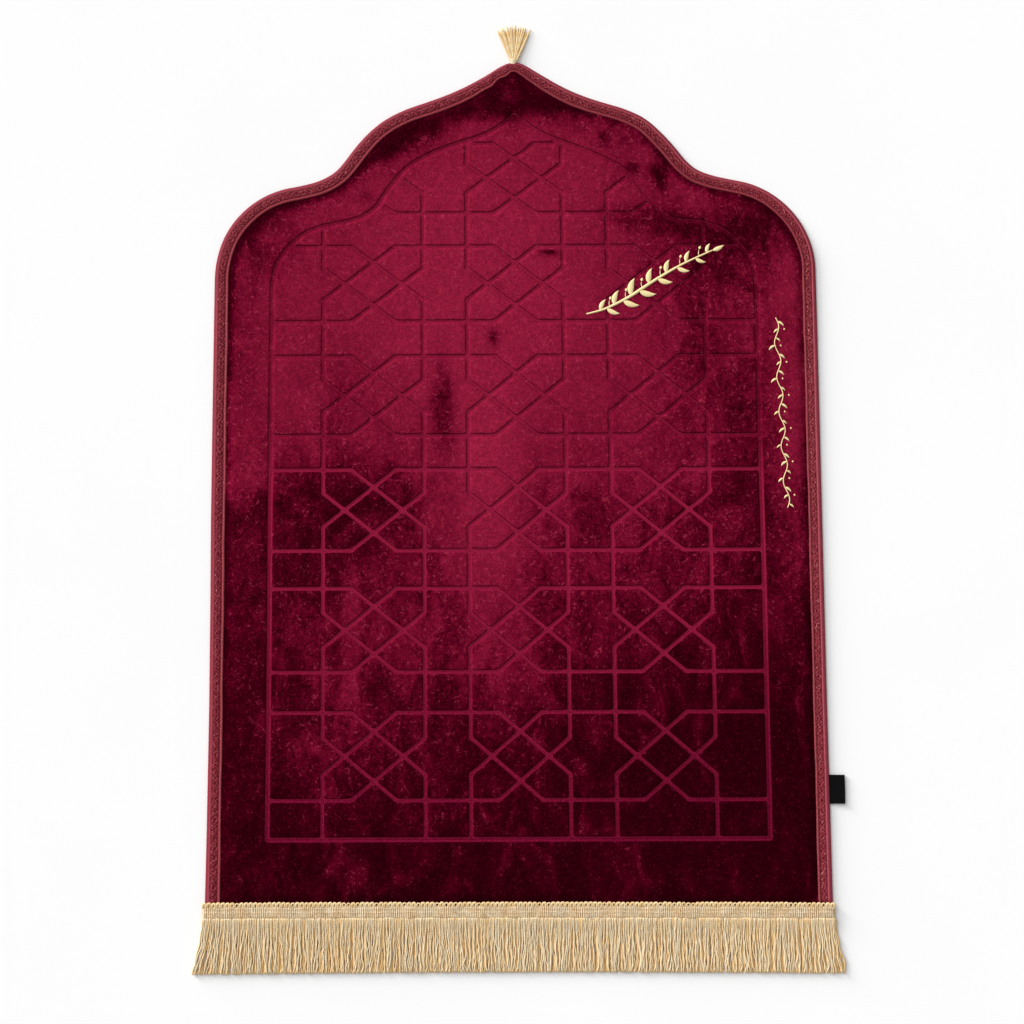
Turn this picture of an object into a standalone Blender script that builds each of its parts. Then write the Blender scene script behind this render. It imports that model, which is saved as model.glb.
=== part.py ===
"""Padded velvet prayer rug with a pointed arch top, lying flat and face up.

Metres, +Z up. The face looks up, the arch points along +Y and the fringe along -Y, and +X is
the side with the woven label. The origin is at floor level, on the centre line, halfway between
the ends of the fringe and the ends of the tassel.

Distances up the rug are first given from the hem line, which is where the fringe's heading
meets the velvet. in_frame() moves a distance of that kind to the object's own Y.
"""

import math
import random

import bmesh
import bpy
from mathutils import Matrix, Vector

# ---- Driving dimensions, in metres ----

GAP = 0.0003  # between two pieces that touch

PANEL_THICKNESS = 0.0080
PANEL_EDGE_ROUND = 0.0025
FLANGE_LOW = 0.0015
FLANGE_HIGH = 0.0045

BINDING_WIDTH = 0.0180
BINDING_HEIGHT = 0.0060
BINDING_TAPE = 0.0012
BINDING_EDGE_ROUND = 0.0012

HEADING_WIDTH = 0.0220
HEADING_ABOVE_HEM = 0.0010
HEADING_LOW = FLANGE_HIGH + GAP
HEADING_HIGH = 0.0068
HEADING_LEFT = 0.4010
HEADING_RIGHT = 0.4030
HEM_TURN = 0.0180  # how far the thin edge of the panel runs under the heading

FRINGE_LENGTH = 0.0900  # below the hem line
FRINGE_THICKNESS = 0.0040
FRINGE_TEETH = 84
FRINGE_FLARE = 0.0125  # how far the outermost cords lean out at their ends
FRINGE_FLARE_POWER = 9  # the lean fades quickly away from the two corners
FRINGE_TRIM = 0.0012  # unevenness of the cut ends
TOOTH_GAP = 0.0024  # between two teeth at their ends, closing to nothing at the root
COMB_INSET = 0.0005  # how far the comb stops short of the heading's own faces

TASSEL_END = 1.1673  # above the hem line
TASSEL_HALF_SPREAD = 0.0220
TASSEL_THICKNESS = 0.0050
TASSEL_TEETH = 9
TASSEL_TRIM = 0.0030
NECK_RADIUS = 0.0030
WRAP_RADIUS = 0.0040
WRAP_LENGTH = 0.0050

LABEL_FROM = 0.1248  # above the hem line
LABEL_TO = 0.1616
LABEL_REACH = 0.0185
LABEL_CLOTH = 0.0006
LABEL_LOW = 0.0010
LABEL_HIGH = 0.0028

ARC_STEPS = 3
ROUND_STEPS = 2
TURNED_SIDES = 24
SHARP_ANGLE = math.radians(35)
FLAT_ANGLE = math.radians(0.1)

# The two edges of the rug from the hem line up to the tip. out is the distance from the centre
# line, up the distance above the hem line, and heading the way the edge runs there: 90 degrees
# is straight up the rug, and 0 is straight in to the centre line.
EDGE_COLUMNS = ("point", "out", "up", "heading")
LEFT_EDGE = (
    ("hem", 0.3985, 0.0000, 90),
    ("springing", 0.4000, 0.8150, 90),
    ("shoulder", 0.3750, 0.8955, 53),
    ("shoulder_top", 0.3000, 0.9420, 10),
    ("cusp", 0.2470, 0.9595, 33),
    ("wave", 0.2220, 0.9870, 55),
    ("lobe", 0.1900, 1.0240, 42),
    ("crest", 0.1350, 1.0550, 19),
    ("sweep", 0.0820, 1.0750, 24),
    ("neck", 0.0280, 1.1055, 35),
    ("tip", 0.0000, 1.1172, 0),
)
RIGHT_EDGE = (
    ("hem", 0.4012, 0.0000, 90),
    ("springing", 0.4008, 0.8280, 90),
    ("shoulder", 0.3800, 0.8965, 57),
    ("shoulder_top", 0.3000, 0.9508, 11),
    ("cusp", 0.2530, 0.9626, 21),
    ("wave", 0.2220, 0.9890, 54),
    ("lobe", 0.1880, 1.0274, 44),
    ("crest", 0.1330, 1.0560, 16),
    ("sweep", 0.0800, 1.0745, 24),
    ("neck", 0.0260, 1.1056, 34),
    ("tip", 0.0000, 1.1172, 0),
)

# The tape folded round the panel's edge, cut across: in is the distance in from the outer
# edge, up the height above the floor.
BINDING_COLUMNS = ("point", "in", "up")
BINDING_SECTION = (
    ("lower_lip_outside", BINDING_WIDTH, 0.0),
    ("lower_round_start", BINDING_EDGE_ROUND, 0.0),
    ("lower_round_end", 0.0, BINDING_EDGE_ROUND),
    ("upper_round_start", 0.0, BINDING_HEIGHT - BINDING_EDGE_ROUND),
    ("upper_round_end", BINDING_EDGE_ROUND, BINDING_HEIGHT),
    ("upper_lip_outside", BINDING_WIDTH, BINDING_HEIGHT),
    ("upper_lip_inside", BINDING_WIDTH, BINDING_HEIGHT - BINDING_TAPE),
    ("channel_top", BINDING_TAPE, BINDING_HEIGHT - BINDING_TAPE),
    ("channel_bottom", BINDING_TAPE, BINDING_TAPE),
    ("lower_lip_inside", BINDING_WIDTH, BINDING_TAPE),
)

# ---- Values that follow from the driving dimensions ----

TIP = LEFT_EDGE[-1][EDGE_COLUMNS.index("up")]
MIDDLE = (TASSEL_END - FRINGE_LENGTH) / 2
BINDING_FOOT = HEADING_ABOVE_HEM + GAP
HEADING_FOOT = HEADING_ABOVE_HEM - HEADING_WIDTH
RIGHT_SIDE = RIGHT_EDGE[0][EDGE_COLUMNS.index("out")]

PALETTE = {
    # name: (base colour, roughness)
    "velvet": ((0.11, 0.004, 0.022), 0.85),
    "binding_tape": ((0.22, 0.018, 0.035), 0.60),
    "fringe_yarn": ((0.72, 0.52, 0.27), 0.55),
    "label_ribbon": ((0.012, 0.012, 0.014), 0.50),
}


# ---- Scene ----


def clear_scene():
    """Removes whatever the scene holds."""
    for item in list(bpy.data.objects):
        bpy.data.objects.remove(item, do_unlink=True)


def new_collection(name):
    """A collection in the scene."""
    made = bpy.data.collections.new(name)
    bpy.context.scene.collection.children.link(made)
    return made


def cloth_material(name):
    """A plain fabric finish from the palette."""
    colour, roughness = PALETTE[name]
    made = bpy.data.materials.new(name)
    made.use_nodes = True
    shader = made.node_tree.nodes["Principled BSDF"]
    shader.inputs["Base Color"].default_value = (*colour, 1)
    shader.inputs["Roughness"].default_value = roughness
    shader.inputs["Metallic"].default_value = 0
    made.diffuse_color = (*colour, 1)
    return made


def in_frame(up):
    """The object's Y for a distance above the hem line."""
    return up - MIDDLE


# ---- Outline ----


def arc(start, heading, end):
    """Points and headings along the arc that leaves start along heading and reaches end."""
    chord = end - start
    half_turn = math.atan2(chord.y, chord.x) - heading
    half_turn = (half_turn + math.pi) % math.tau - math.pi
    if abs(half_turn) < 1e-6:
        return [(start, heading), (end, heading)]
    found = []
    for step in range(ARC_STEPS + 1):
        turned = half_turn * step / ARC_STEPS
        reach = chord.length * math.sin(turned) / math.sin(half_turn)
        way = Vector((math.cos(heading + turned), math.sin(heading + turned)))
        found.append((start + reach * way, heading + 2 * turned))
    return found


def two_arcs(start, leaving, end, arriving):
    """Two arcs that join smoothly, from start along leaving to end along arriving."""
    way_out = Vector((math.cos(leaving), math.sin(leaving)))
    way_in = Vector((math.cos(arriving), math.sin(arriving)))
    across = end - start
    both = way_out + way_in
    spread = 2 * (1 - way_out.dot(way_in))
    if spread < 1e-9:
        handle = across.dot(across) / (4 * across.dot(way_in))
    else:
        root = math.sqrt(across.dot(both) ** 2 + spread * across.dot(across))
        handle = (root - across.dot(both)) / spread
    meeting = (start + end + handle * (way_out - way_in)) / 2
    first = arc(start, leaving, meeting)
    return first[:-1] + arc(meeting, first[-1][1], end)


def edge_path(table, side):
    """(point, inward normal) pairs from the hem line to the tip. side is -1 left, 1 right."""
    rows = [dict(zip(EDGE_COLUMNS, row)) for row in table]
    walked = []
    for low, high in zip(rows, rows[1:]):
        start = Vector((-low["out"], low["up"]))
        end = Vector((-high["out"], high["up"]))
        leaving, arriving = math.radians(low["heading"]), math.radians(high["heading"])
        if low["heading"] == high["heading"] == 90:
            part = [(start, leaving), (end, arriving)]
        else:
            part = two_arcs(start, leaving, end, arriving)
        walked += part[:-1]
    walked.append((end, arriving))
    found = []
    for point, heading in walked:
        inward = Vector((math.sin(heading), -math.cos(heading)))
        if side > 0:
            point, inward = Vector((-point.x, point.y)), Vector((-inward.x, inward.y))
        found.append((point, inward))
    return found


def arch(inset, foot):
    """The rug's outline, inset by a distance, from the left foot over the tip to the right."""
    left = edge_path(LEFT_EDGE, -1)
    right = edge_path(RIGHT_EDGE, 1)
    walked = left + right[-2::-1]
    points = [point + inset * inward for point, inward in walked]
    points[0].y = points[-1].y = foot
    return [(point.x, in_frame(point.y)) for point in points]


# ---- Shapes ----


def curve_of(name, points, closed):
    """A flat curve with straight stretches between its points."""
    data = bpy.data.curves.new(name, "CURVE")
    data.dimensions = "2D"
    spline = data.splines.new("POLY")
    spline.points.add(len(points) - 1)
    for slot, (x, y) in zip(spline.points, points):
        slot.co = (x, y, 0, 1)
    spline.use_cyclic_u = closed
    made = bpy.data.objects.new(name, data)
    bpy.context.scene.collection.objects.link(made)
    return made


def mesh_of(name, curve, collection):
    """Turns a curve object into a welded mesh object and removes the curve."""
    bpy.context.view_layer.update()
    evaluated = curve.evaluated_get(bpy.context.evaluated_depsgraph_get())
    mesh = bpy.data.meshes.new_from_object(evaluated)
    mesh.name = name
    mesh.materials.clear()
    mesh.transform(curve.matrix_world)
    shape = bmesh.new()
    shape.from_mesh(mesh)
    bmesh.ops.remove_doubles(shape, verts=shape.verts, dist=1e-6)
    bmesh.ops.dissolve_limit(
        shape, angle_limit=FLAT_ANGLE, verts=shape.verts, edges=shape.edges
    )
    bmesh.ops.recalc_face_normals(shape, faces=shape.faces)
    shape.to_mesh(mesh)
    shape.free()
    bpy.data.objects.remove(curve, do_unlink=True)
    made = bpy.data.objects.new(name, mesh)
    collection.objects.link(made)
    return made


def plate(name, points, low, high, collection):
    """A flat plate with the given outline, between two heights."""
    curve = curve_of(name, points, closed=True)
    curve.data.fill_mode = "BOTH"
    curve.data.extrude = (high - low) / 2
    curve.location.z = (high + low) / 2
    return mesh_of(name, curve, collection)


def rod(name, radius, y_from, y_to, height, collection):
    """A round rod along Y, with its axis at the given height."""
    mesh = bpy.data.meshes.new(name)
    shape = bmesh.new()
    bmesh.ops.create_cone(
        shape,
        cap_ends=True,
        segments=TURNED_SIDES,
        radius1=radius,
        radius2=radius,
        depth=y_to - y_from,
        matrix=Matrix.Translation((0, (y_from + y_to) / 2, height))
        @ Matrix.Rotation(math.pi / 2, 4, "X"),
    )
    shape.to_mesh(mesh)
    shape.free()
    made = bpy.data.objects.new(name, mesh)
    collection.objects.link(made)
    return made


def boolean(target, operation, other):
    """Adds an exact Boolean modifier with another object."""
    modifier = target.modifiers.new(other.name, "BOOLEAN")
    modifier.operation = operation
    modifier.solver = "EXACT"
    modifier.object = other
    other.hide_render = True
    other.display_type = "WIRE"


def round_top_rim(target, height, radius):
    """Rounds the outer edges of a plate's top face with a weighted Bevel."""
    mesh = target.data
    weights = mesh.attributes.new("bevel_weight_edge", "FLOAT", "EDGE")
    for edge in mesh.edges:
        ends = [mesh.vertices[index].co.z for index in edge.vertices]
        weights.data[edge.index].value = 1.0 if min(ends) > height - 1e-6 else 0.0
    modifier = target.modifiers.new("rounded_rim", "BEVEL")
    modifier.limit_method = "WEIGHT"
    modifier.width = radius
    modifier.segments = ROUND_STEPS


def finish(target, material):
    """Gives a piece its material and smooth shading between its sharp edges."""
    target.data.materials.append(material)
    target.data.shade_smooth()
    target.data.set_sharp_from_angle(angle=SHARP_ANGLE)


# ---- Pieces ----


def velvet_panel(parts, tools):
    """The padded velvet with its thin edge, which the binding and the heading cover."""
    inset = BINDING_WIDTH + GAP
    pad = plate("velvet_panel", arch(inset, BINDING_FOOT), 0, PANEL_THICKNESS, parts)
    round_top_rim(pad, PANEL_THICKNESS, PANEL_EDGE_ROUND)
    inset = BINDING_TAPE + GAP
    flange = plate("panel_flange", arch(inset, -HEM_TURN), FLANGE_LOW, FLANGE_HIGH, tools)
    boolean(pad, "UNION", flange)
    return pad


def edge_binding(parts):
    """One tape folded over the edge, up the left side, over the tip and down the right."""
    section = [
        (row["in"], row["up"])
        for row in (dict(zip(BINDING_COLUMNS, line)) for line in BINDING_SECTION)
    ]
    profile = curve_of("binding_section", section, closed=True)
    route = curve_of("edge_binding", arch(0, BINDING_FOOT), closed=False)
    route.data.bevel_mode = "OBJECT"
    route.data.bevel_object = profile
    route.data.use_fill_caps = True
    made = mesh_of("edge_binding", route, parts)
    bpy.data.objects.remove(profile, do_unlink=True)
    return made


def comb_end(place, depth):
    """Where a cord of the fringe is at a share of its length. place runs from -1 to 1."""
    half = HEADING_RIGHT if place > 0 else HEADING_LEFT
    lean = FRINGE_FLARE * abs(place) ** FRINGE_FLARE_POWER * depth
    return place * (half - COMB_INSET) + math.copysign(lean, place)


def fringe_comb():
    """The outline of the hanging cords, as a comb with its back inside the drop."""
    trim = random.Random(11)
    back = in_frame(-HEM_TURN - GAP - COMB_INSET)
    root = in_frame(HEADING_FOOT - COMB_INSET)
    points = [(comb_end(-1, 0), back), (comb_end(-1, 0), root)]
    for tooth in range(FRINGE_TEETH):
        left = 2 * tooth / FRINGE_TEETH - 1
        right = 2 * (tooth + 1) / FRINGE_TEETH - 1
        end = in_frame(-FRINGE_LENGTH + trim.uniform(0, FRINGE_TRIM))
        left_gap = TOOTH_GAP / 2 if tooth > 0 else 0
        right_gap = TOOTH_GAP / 2 if tooth < FRINGE_TEETH - 1 else 0
        points.append((comb_end(left, 1) + left_gap, end))
        points.append((comb_end(right, 1) - right_gap, end))
        points.append((comb_end(right, 0), root - right_gap * trim.random()))
    points.append((comb_end(1, 0), back))
    return points


def fringe(parts, tools):
    """The woven heading on the hem, its drop behind the hem, and the comb of cords below."""
    above, behind = in_frame(HEADING_ABOVE_HEM), in_frame(-HEM_TURN - GAP)
    foot = in_frame(HEADING_FOOT)
    section = [
        (above, HEADING_HIGH),
        (foot, HEADING_HIGH),
        (foot, COMB_INSET),
        (behind, COMB_INSET),
        (behind, HEADING_LOW),
        (above, HEADING_LOW),
    ]
    curve = curve_of("fringe", section, closed=True)
    curve.data.fill_mode = "BOTH"
    curve.data.extrude = (HEADING_LEFT + HEADING_RIGHT) / 2
    curve.rotation_euler = (math.pi / 2, 0, math.pi / 2)
    curve.location.x = (HEADING_RIGHT - HEADING_LEFT) / 2
    made = mesh_of("fringe", curve, parts)
    cords = plate("fringe_cords", fringe_comb(), 0, FRINGE_THICKNESS, tools)
    boolean(made, "UNION", cords)
    return made


def tassel_fan():
    """The outline of the tassel's spread brush, from the neck to its cut ends."""
    trim = random.Random(5)
    low = in_frame(TIP + WRAP_LENGTH + 2 * GAP)
    length = in_frame(TASSEL_END) - low
    points = [(-NECK_RADIUS, low)]
    for tooth in range(TASSEL_TEETH):
        centre = 2 * (tooth + 0.5) / TASSEL_TEETH - 1
        half = 0.8 / TASSEL_TEETH
        short = TASSEL_TRIM * trim.random() + 0.004 * centre**2
        if tooth == TASSEL_TEETH // 2:
            short = 0
        for edge in (centre - half, centre + half):
            points.append((TASSEL_HALF_SPREAD * edge, low + length - short))
        if tooth < TASSEL_TEETH - 1:
            notch = centre + 1 / TASSEL_TEETH
            points.append((TASSEL_HALF_SPREAD * notch * 0.75, low + length * 0.70))
    points.append((NECK_RADIUS, low))
    return points


def tassel(parts, tools):
    """The brush of yarn at the tip, fanned out flat, with its round neck."""
    made = plate("tassel", tassel_fan(), 0, TASSEL_THICKNESS, parts)
    neck_from = in_frame(TIP + GAP)
    neck_to = in_frame(TIP + WRAP_LENGTH + NECK_RADIUS)
    neck = rod("tassel_neck", NECK_RADIUS, neck_from, neck_to, WRAP_RADIUS, tools)
    boolean(made, "UNION", neck)
    return made


def tassel_wrap(parts, tools):
    """The thread wound round the tassel's neck, as a ring."""
    low = in_frame(TIP + GAP)
    high = in_frame(TIP + GAP + WRAP_LENGTH)
    made = rod("tassel_wrap", WRAP_RADIUS, low, high, WRAP_RADIUS, parts)
    bore = NECK_RADIUS + GAP
    hole = rod("wrap_bore", bore, low - bore, high + bore, WRAP_RADIUS, tools)
    boolean(made, "DIFFERENCE", hole)
    return made


def side_label(parts):
    """A bare ribbon label, folded in half, its fold outwards and its ends at the seam."""
    start = RIGHT_SIDE + GAP
    end = start + LABEL_REACH
    inner_end = end - LABEL_CLOTH
    section = [
        (start, LABEL_LOW),
        (end, LABEL_LOW),
        (end, LABEL_HIGH),
        (start, LABEL_HIGH),
        (start, LABEL_HIGH - LABEL_CLOTH),
        (inner_end, LABEL_HIGH - LABEL_CLOTH),
        (inner_end, LABEL_LOW + LABEL_CLOTH),
        (start, LABEL_LOW + LABEL_CLOTH),
    ]
    curve = curve_of("side_label", section, closed=True)
    curve.data.fill_mode = "BOTH"
    curve.data.extrude = (LABEL_TO - LABEL_FROM) / 2
    curve.rotation_euler.x = math.pi / 2
    curve.location.y = in_frame((LABEL_FROM + LABEL_TO) / 2)
    return mesh_of("side_label", curve, parts)


def build():
    """Makes every piece of the rug."""
    clear_scene()
    parts = new_collection("prayer_rug")
    tools = new_collection("construction")
    finishes = {name: cloth_material(name) for name in PALETTE}
    finish(velvet_panel(parts, tools), finishes["velvet"])
    finish(edge_binding(parts), finishes["binding_tape"])
    finish(fringe(parts, tools), finishes["fringe_yarn"])
    finish(tassel(parts, tools), finishes["fringe_yarn"])
    finish(tassel_wrap(parts, tools), finishes["fringe_yarn"])
    finish(side_label(parts), finishes["label_ribbon"])


build()
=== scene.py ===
"""The look of a padded velvet prayer rug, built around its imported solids.

Lengths are in metres. "up" is measured from the hem, the line where the fringe's heading meets the
velvet, and MIDDLE takes it to the frame's own Y.
"""

import math

import bpy
import numpy as np
from mathutils import Matrix, Vector
from mathutils.geometry import delaunay_2d_cdt


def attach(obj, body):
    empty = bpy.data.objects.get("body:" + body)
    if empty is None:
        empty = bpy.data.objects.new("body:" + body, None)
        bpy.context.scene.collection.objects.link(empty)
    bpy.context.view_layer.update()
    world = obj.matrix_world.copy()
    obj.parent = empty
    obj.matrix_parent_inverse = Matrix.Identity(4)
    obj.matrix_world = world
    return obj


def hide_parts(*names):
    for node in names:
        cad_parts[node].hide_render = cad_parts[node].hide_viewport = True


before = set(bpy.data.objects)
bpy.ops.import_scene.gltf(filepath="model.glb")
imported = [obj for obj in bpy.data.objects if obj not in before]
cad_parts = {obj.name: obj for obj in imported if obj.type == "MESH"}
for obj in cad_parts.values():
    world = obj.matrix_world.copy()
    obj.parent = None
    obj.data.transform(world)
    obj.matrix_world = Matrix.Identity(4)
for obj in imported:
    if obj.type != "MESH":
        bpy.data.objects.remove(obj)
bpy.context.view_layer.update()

MM = 0.001
MIDDLE = 0.53865

# Outline knots: distance out from the centre line, height above the hem, and the edge's heading
# there in degrees, where 90 runs straight up and 0 straight in to the centre line.
LEFT_EDGE = [
    (0.3985, 0.0, 90), (0.4000, 0.8150, 90), (0.3750, 0.8955, 53), (0.3000, 0.9420, 10),
    (0.2470, 0.9595, 33), (0.2220, 0.9870, 55), (0.1900, 1.0240, 42), (0.1350, 1.0550, 19),
    (0.0820, 1.0750, 24), (0.0280, 1.1055, 35), (0.0, 1.1172, 0),
]
RIGHT_EDGE = [
    (0.4012, 0.0, 90), (0.4008, 0.8280, 90), (0.3800, 0.8965, 57), (0.3000, 0.9508, 11),
    (0.2530, 0.9626, 21), (0.2220, 0.9890, 54), (0.1880, 1.0274, 44), (0.1330, 1.0560, 16),
    (0.0800, 1.0745, 24), (0.0260, 1.1056, 34), (0.0, 1.1172, 0),
]
LEFT_FRAME = [
    (0.3200, 0.0805, 90), (0.3220, 0.7580, 90), (0.3190, 0.8260, 77), (0.2855, 0.8730, 37),
    (0.2255, 0.8930, 10), (0.1880, 0.9110, 45), (0.1690, 0.9380, 55), (0.1385, 0.9715, 36),
    (0.0910, 0.9955, 21), (0.0425, 1.0120, 22), (0.0120, 1.0305, 40), (0.0005, 1.0410, 45),
]
RIGHT_FRAME = [
    (0.3220, 0.0805, 90), (0.3215, 0.3000, 90), (0.3195, 0.7450, 90), (0.3165, 0.8255, 80),
    (0.2920, 0.8670, 48), (0.2480, 0.8910, 12), (0.2100, 0.8955, 17), (0.1840, 0.9175, 48),
    (0.1675, 0.9400, 55), (0.1425, 0.9655, 37), (0.1020, 0.9870, 25), (0.0470, 1.0090, 23),
    (0.0130, 1.0300, 39), (-0.0005, 1.0410, 45),
]


# ---------------------------------------------------------------- curves


def direction(angle):
    """The unit vector at an angle."""
    return np.array((np.cos(angle), np.sin(angle)))


def arc(start, heading, end, shares):
    """Points of the circle that leaves start at a heading and passes through end; its heading there.

    With chord L at angle f from the heading, the point at share t is
    start + L sin(t f)/sin(f) in the direction heading + t f, and the last heading is heading + 2 f.
    """
    chord = end - start
    turn = math.atan2(chord[1], chord[0]) - heading
    turn = (turn + math.pi) % (2 * math.pi) - math.pi
    reach = math.hypot(*chord) * shares * np.sinc(shares * turn / math.pi) / np.sinc(turn / math.pi)
    return start + reach[:, None] * direction(heading + shares * turn).T, heading + 2 * turn


def knotted(table, steps=24):
    """A side's points, from knots with headings: two arcs with equal handles join each pair.

    The handle d solves |v - d (a + b)| = 2 d, where v joins the knots and a and b are their headings.
    """
    shares = np.linspace(0, 1, steps, endpoint=False)
    rows = []
    for (out_a, up_a, angle_a), (out_b, up_b, angle_b) in zip(table, table[1:]):
        p, q = np.array((-out_a, up_a)), np.array((-out_b, up_b))
        a, b = direction(math.radians(angle_a)), direction(math.radians(angle_b))
        v = q - p
        bend, along = 2 * (1 - a @ b), v @ (a + b)
        handle = v @ v / (2 * along)
        if bend > 1e-9:
            handle = (math.sqrt(along**2 + bend * (v @ v)) - along) / bend
        meeting = (p + q + handle * (a - b)) / 2
        first, heading = arc(p, math.radians(angle_a), meeting, shares)
        second, _ = arc(meeting, heading, q, shares)
        rows += [first, second]
    return np.vstack(rows + [[(-table[-1][0], table[-1][1])]])


def both_sides(left, right):
    """The whole line from the left foot over the tip to the right foot."""
    right_points = knotted(right)[::-1] * (-1, 1)
    return np.vstack([knotted(left), right_points[1:]])


def spaced(points, step):
    """The line's points at even steps of about the given length, with both ends kept."""
    length = np.concatenate([[0], np.cumsum(np.hypot(*np.diff(points, axis=0).T))])
    at = np.linspace(0, length[-1], max(2, int(round(length[-1] / step)) + 1))
    return np.stack([np.interp(at, length, points[:, k]) for k in (0, 1)], 1), at


def inward(points):
    """Unit normals to the right of the walk, which is the rug's inside."""
    run = np.gradient(points, axis=0)
    run /= np.hypot(*run.T)[:, None]
    return np.stack([run[:, 1], -run[:, 0]], 1)


def bell(value, middle, half):
    """exp(-((value - middle) / half)^2)."""
    return np.exp(-(((value - middle) / half) ** 2))


# ---------------------------------------------------------------- meshes


def grid_faces(rows, cols, wrap=False):
    """Quads of a grid of points numbered row by row; wrap joins the last column to the first."""
    i = np.arange(rows - 1)[:, None] * cols
    j = np.arange(cols if wrap else cols - 1)[None, :]
    k = (j + 1) % cols
    return np.stack([i + j, i + k, i + cols + k, i + cols + j], -1).reshape(-1, 4)


def volume(points, faces):
    """Six times the volume that the faces close in, positive where they point outwards."""
    total = 0.0
    for group in faces:
        a = points[group[:, 0]]
        for k in range(1, group.shape[1] - 1):
            b, c = points[group[:, k]], points[group[:, k + 1]]
            total += float((a * np.cross(b, c)).sum())
    return total


def put(name, data):
    """A new object at the origin that shows this data."""
    made = bpy.data.objects.new(name, data)
    bpy.context.scene.collection.objects.link(made)
    return made


def piece(name, points, faces, materials, cad=None, values=None, corners=None, which=None):
    """A mesh piece from arrays: points, one array of faces for each number of corners, and its layers.

    cad is the node that it stands for, values are numbers kept at the points, corners is a UV map,
    and which gives each face's material.
    """
    points = np.asarray(points, float)
    faces = [np.asarray(group, np.int64) for group in faces]
    if volume(points, faces) < 0:
        faces = [group[:, ::-1] for group in faces]
        corners = None if corners is None else [group[:, ::-1] for group in corners]
    mesh = bpy.data.meshes.new(name)
    mesh.vertices.add(len(points))
    mesh.vertices.foreach_set("co", points.astype(np.float32).ravel())
    sizes = np.concatenate([np.full(len(group), group.shape[1]) for group in faces])
    mesh.loops.add(int(sizes.sum()))
    mesh.loops.foreach_set("vertex_index", np.concatenate([group.ravel() for group in faces]))
    mesh.polygons.add(len(sizes))
    mesh.polygons.foreach_set("loop_start", np.concatenate([[0], np.cumsum(sizes)[:-1]]))
    mesh.polygons.foreach_set("use_smooth", np.ones(len(sizes), bool))
    if which is not None:
        mesh.polygons.foreach_set("material_index", np.concatenate(which).astype(np.int32))
    for key, numbers in (values or {}).items():
        layer = mesh.attributes.new(key, "FLOAT", "POINT")
        layer.data.foreach_set("value", np.asarray(numbers, np.float32).ravel())
    if corners is not None:
        layer = mesh.uv_layers.new(name="UVMap")
        flat = np.concatenate([group.reshape(-1, 2) for group in corners])
        layer.data.foreach_set("uv", flat.astype(np.float32).ravel())
    mesh.update(calc_edges=True)
    mesh.validate()
    for material in materials:
        mesh.materials.append(material)
    made = put(name, mesh)
    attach(made, "root")
    if cad:
        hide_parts(cad)
    return made


def swept(name, points, material, cad, values=None):
    """A closed section carried along a path, as points[station, place round it], capped at both ends."""
    rows, cols = points.shape[:2]
    ring = np.arange(cols)
    faces = [grid_faces(rows, cols, wrap=True), np.stack([ring[::-1], ring + (rows - 1) * cols])]
    return piece(name, points.reshape(-1, 3), faces, [material], cad, values)


def cords(name, paths, radii, sides, material, cad=None, rise=None, shade=None):
    """Cords, each an oval carried along its own path and closed by a small cap at both ends.

    The point at station t and angle a is path(t) + radius(t) cos a * side + rise(t) sin a * over,
    where side is level and square to the path, over completes the three, and rise is the radius
    again on a round cord.
    """
    rise = radii if rise is None else rise
    count, stations = paths.shape[:2]
    run = np.gradient(paths, axis=1)
    run /= np.linalg.norm(run, axis=2)[..., None]
    side = np.cross(run, (0.0, 0.0, 1.0))
    side /= np.linalg.norm(side, axis=2)[..., None]
    over = np.cross(side, run)
    angle = np.arange(sides) * 2 * math.pi / sides
    ring = side[:, :, None] * (radii[:, :, None] * np.cos(angle))[..., None]
    ring += over[:, :, None] * (rise[:, :, None] * np.sin(angle))[..., None]
    points = (paths[:, :, None] + ring).reshape(-1, 3)
    first = (np.arange(count) * stations * sides)[:, None, None]
    body = (grid_faces(stations, sides, wrap=True)[None] + first).reshape(-1, 4)
    start = np.arange(sides)[None, ::-1] + first[:, 0]
    end = np.arange(sides)[None] + (stations - 1) * sides + first[:, 0]
    length = np.concatenate(
        [np.zeros((count, 1)), np.cumsum(np.linalg.norm(np.diff(paths, axis=1), axis=2), axis=1)], 1
    )
    turn = np.arange(sides + 1) / sides
    i, j = np.meshgrid(np.arange(stations - 1), np.arange(sides), indexing="ij")
    i, j = i.ravel(), j.ravel()
    lay = np.zeros((count, len(i), 4, 2))
    lay[..., 0] = np.stack([turn[j], turn[j + 1], turn[j + 1], turn[j]], -1)
    lay[..., 1] = np.stack([length[:, i], length[:, i], length[:, i + 1], length[:, i + 1]], -1)
    caps = np.zeros((2 * count, sides, 2))
    shade = np.full(count, 0.5) if shade is None else shade
    shade = np.repeat(shade, stations * sides)
    share = np.tile(np.repeat(np.linspace(0, 1, stations), sides), count)
    return piece(
        name, points, [body, np.vstack([start, end])], [material], cad,
        values={"shade": shade, "share": share}, corners=[lay.reshape(-1, 4, 2), caps],
    )


# ---------------------------------------------------------------- node helpers


class Level:
    """A value that changes over the surface: a node's output, from which sums and products are made."""

    def __init__(self, socket):
        self.socket, self.tree = socket, socket.id_data

    def math(self, operation, other=0.0, clamp=False):
        """The result of a Math node."""
        return node(self.tree, "ShaderNodeMath", {0: self, 1: other}, operation=operation, use_clamp=clamp)

    def __add__(self, other):
        return self.math("ADD", other)

    def __sub__(self, other):
        return self.math("SUBTRACT", other)

    def __mul__(self, other):
        return self.math("MULTIPLY", other)

    def __rsub__(self, other):
        return self * -1.0 + other

    def sine(self):
        """Its sine."""
        return self.math("SINE")

    def clamped(self):
        """Held between 0 and 1."""
        return self.math("MULTIPLY", 1.0, clamp=True)

    def beside(self):
        """All the outputs of the same node."""
        return [Level(socket) for socket in self.socket.node.outputs]


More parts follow.
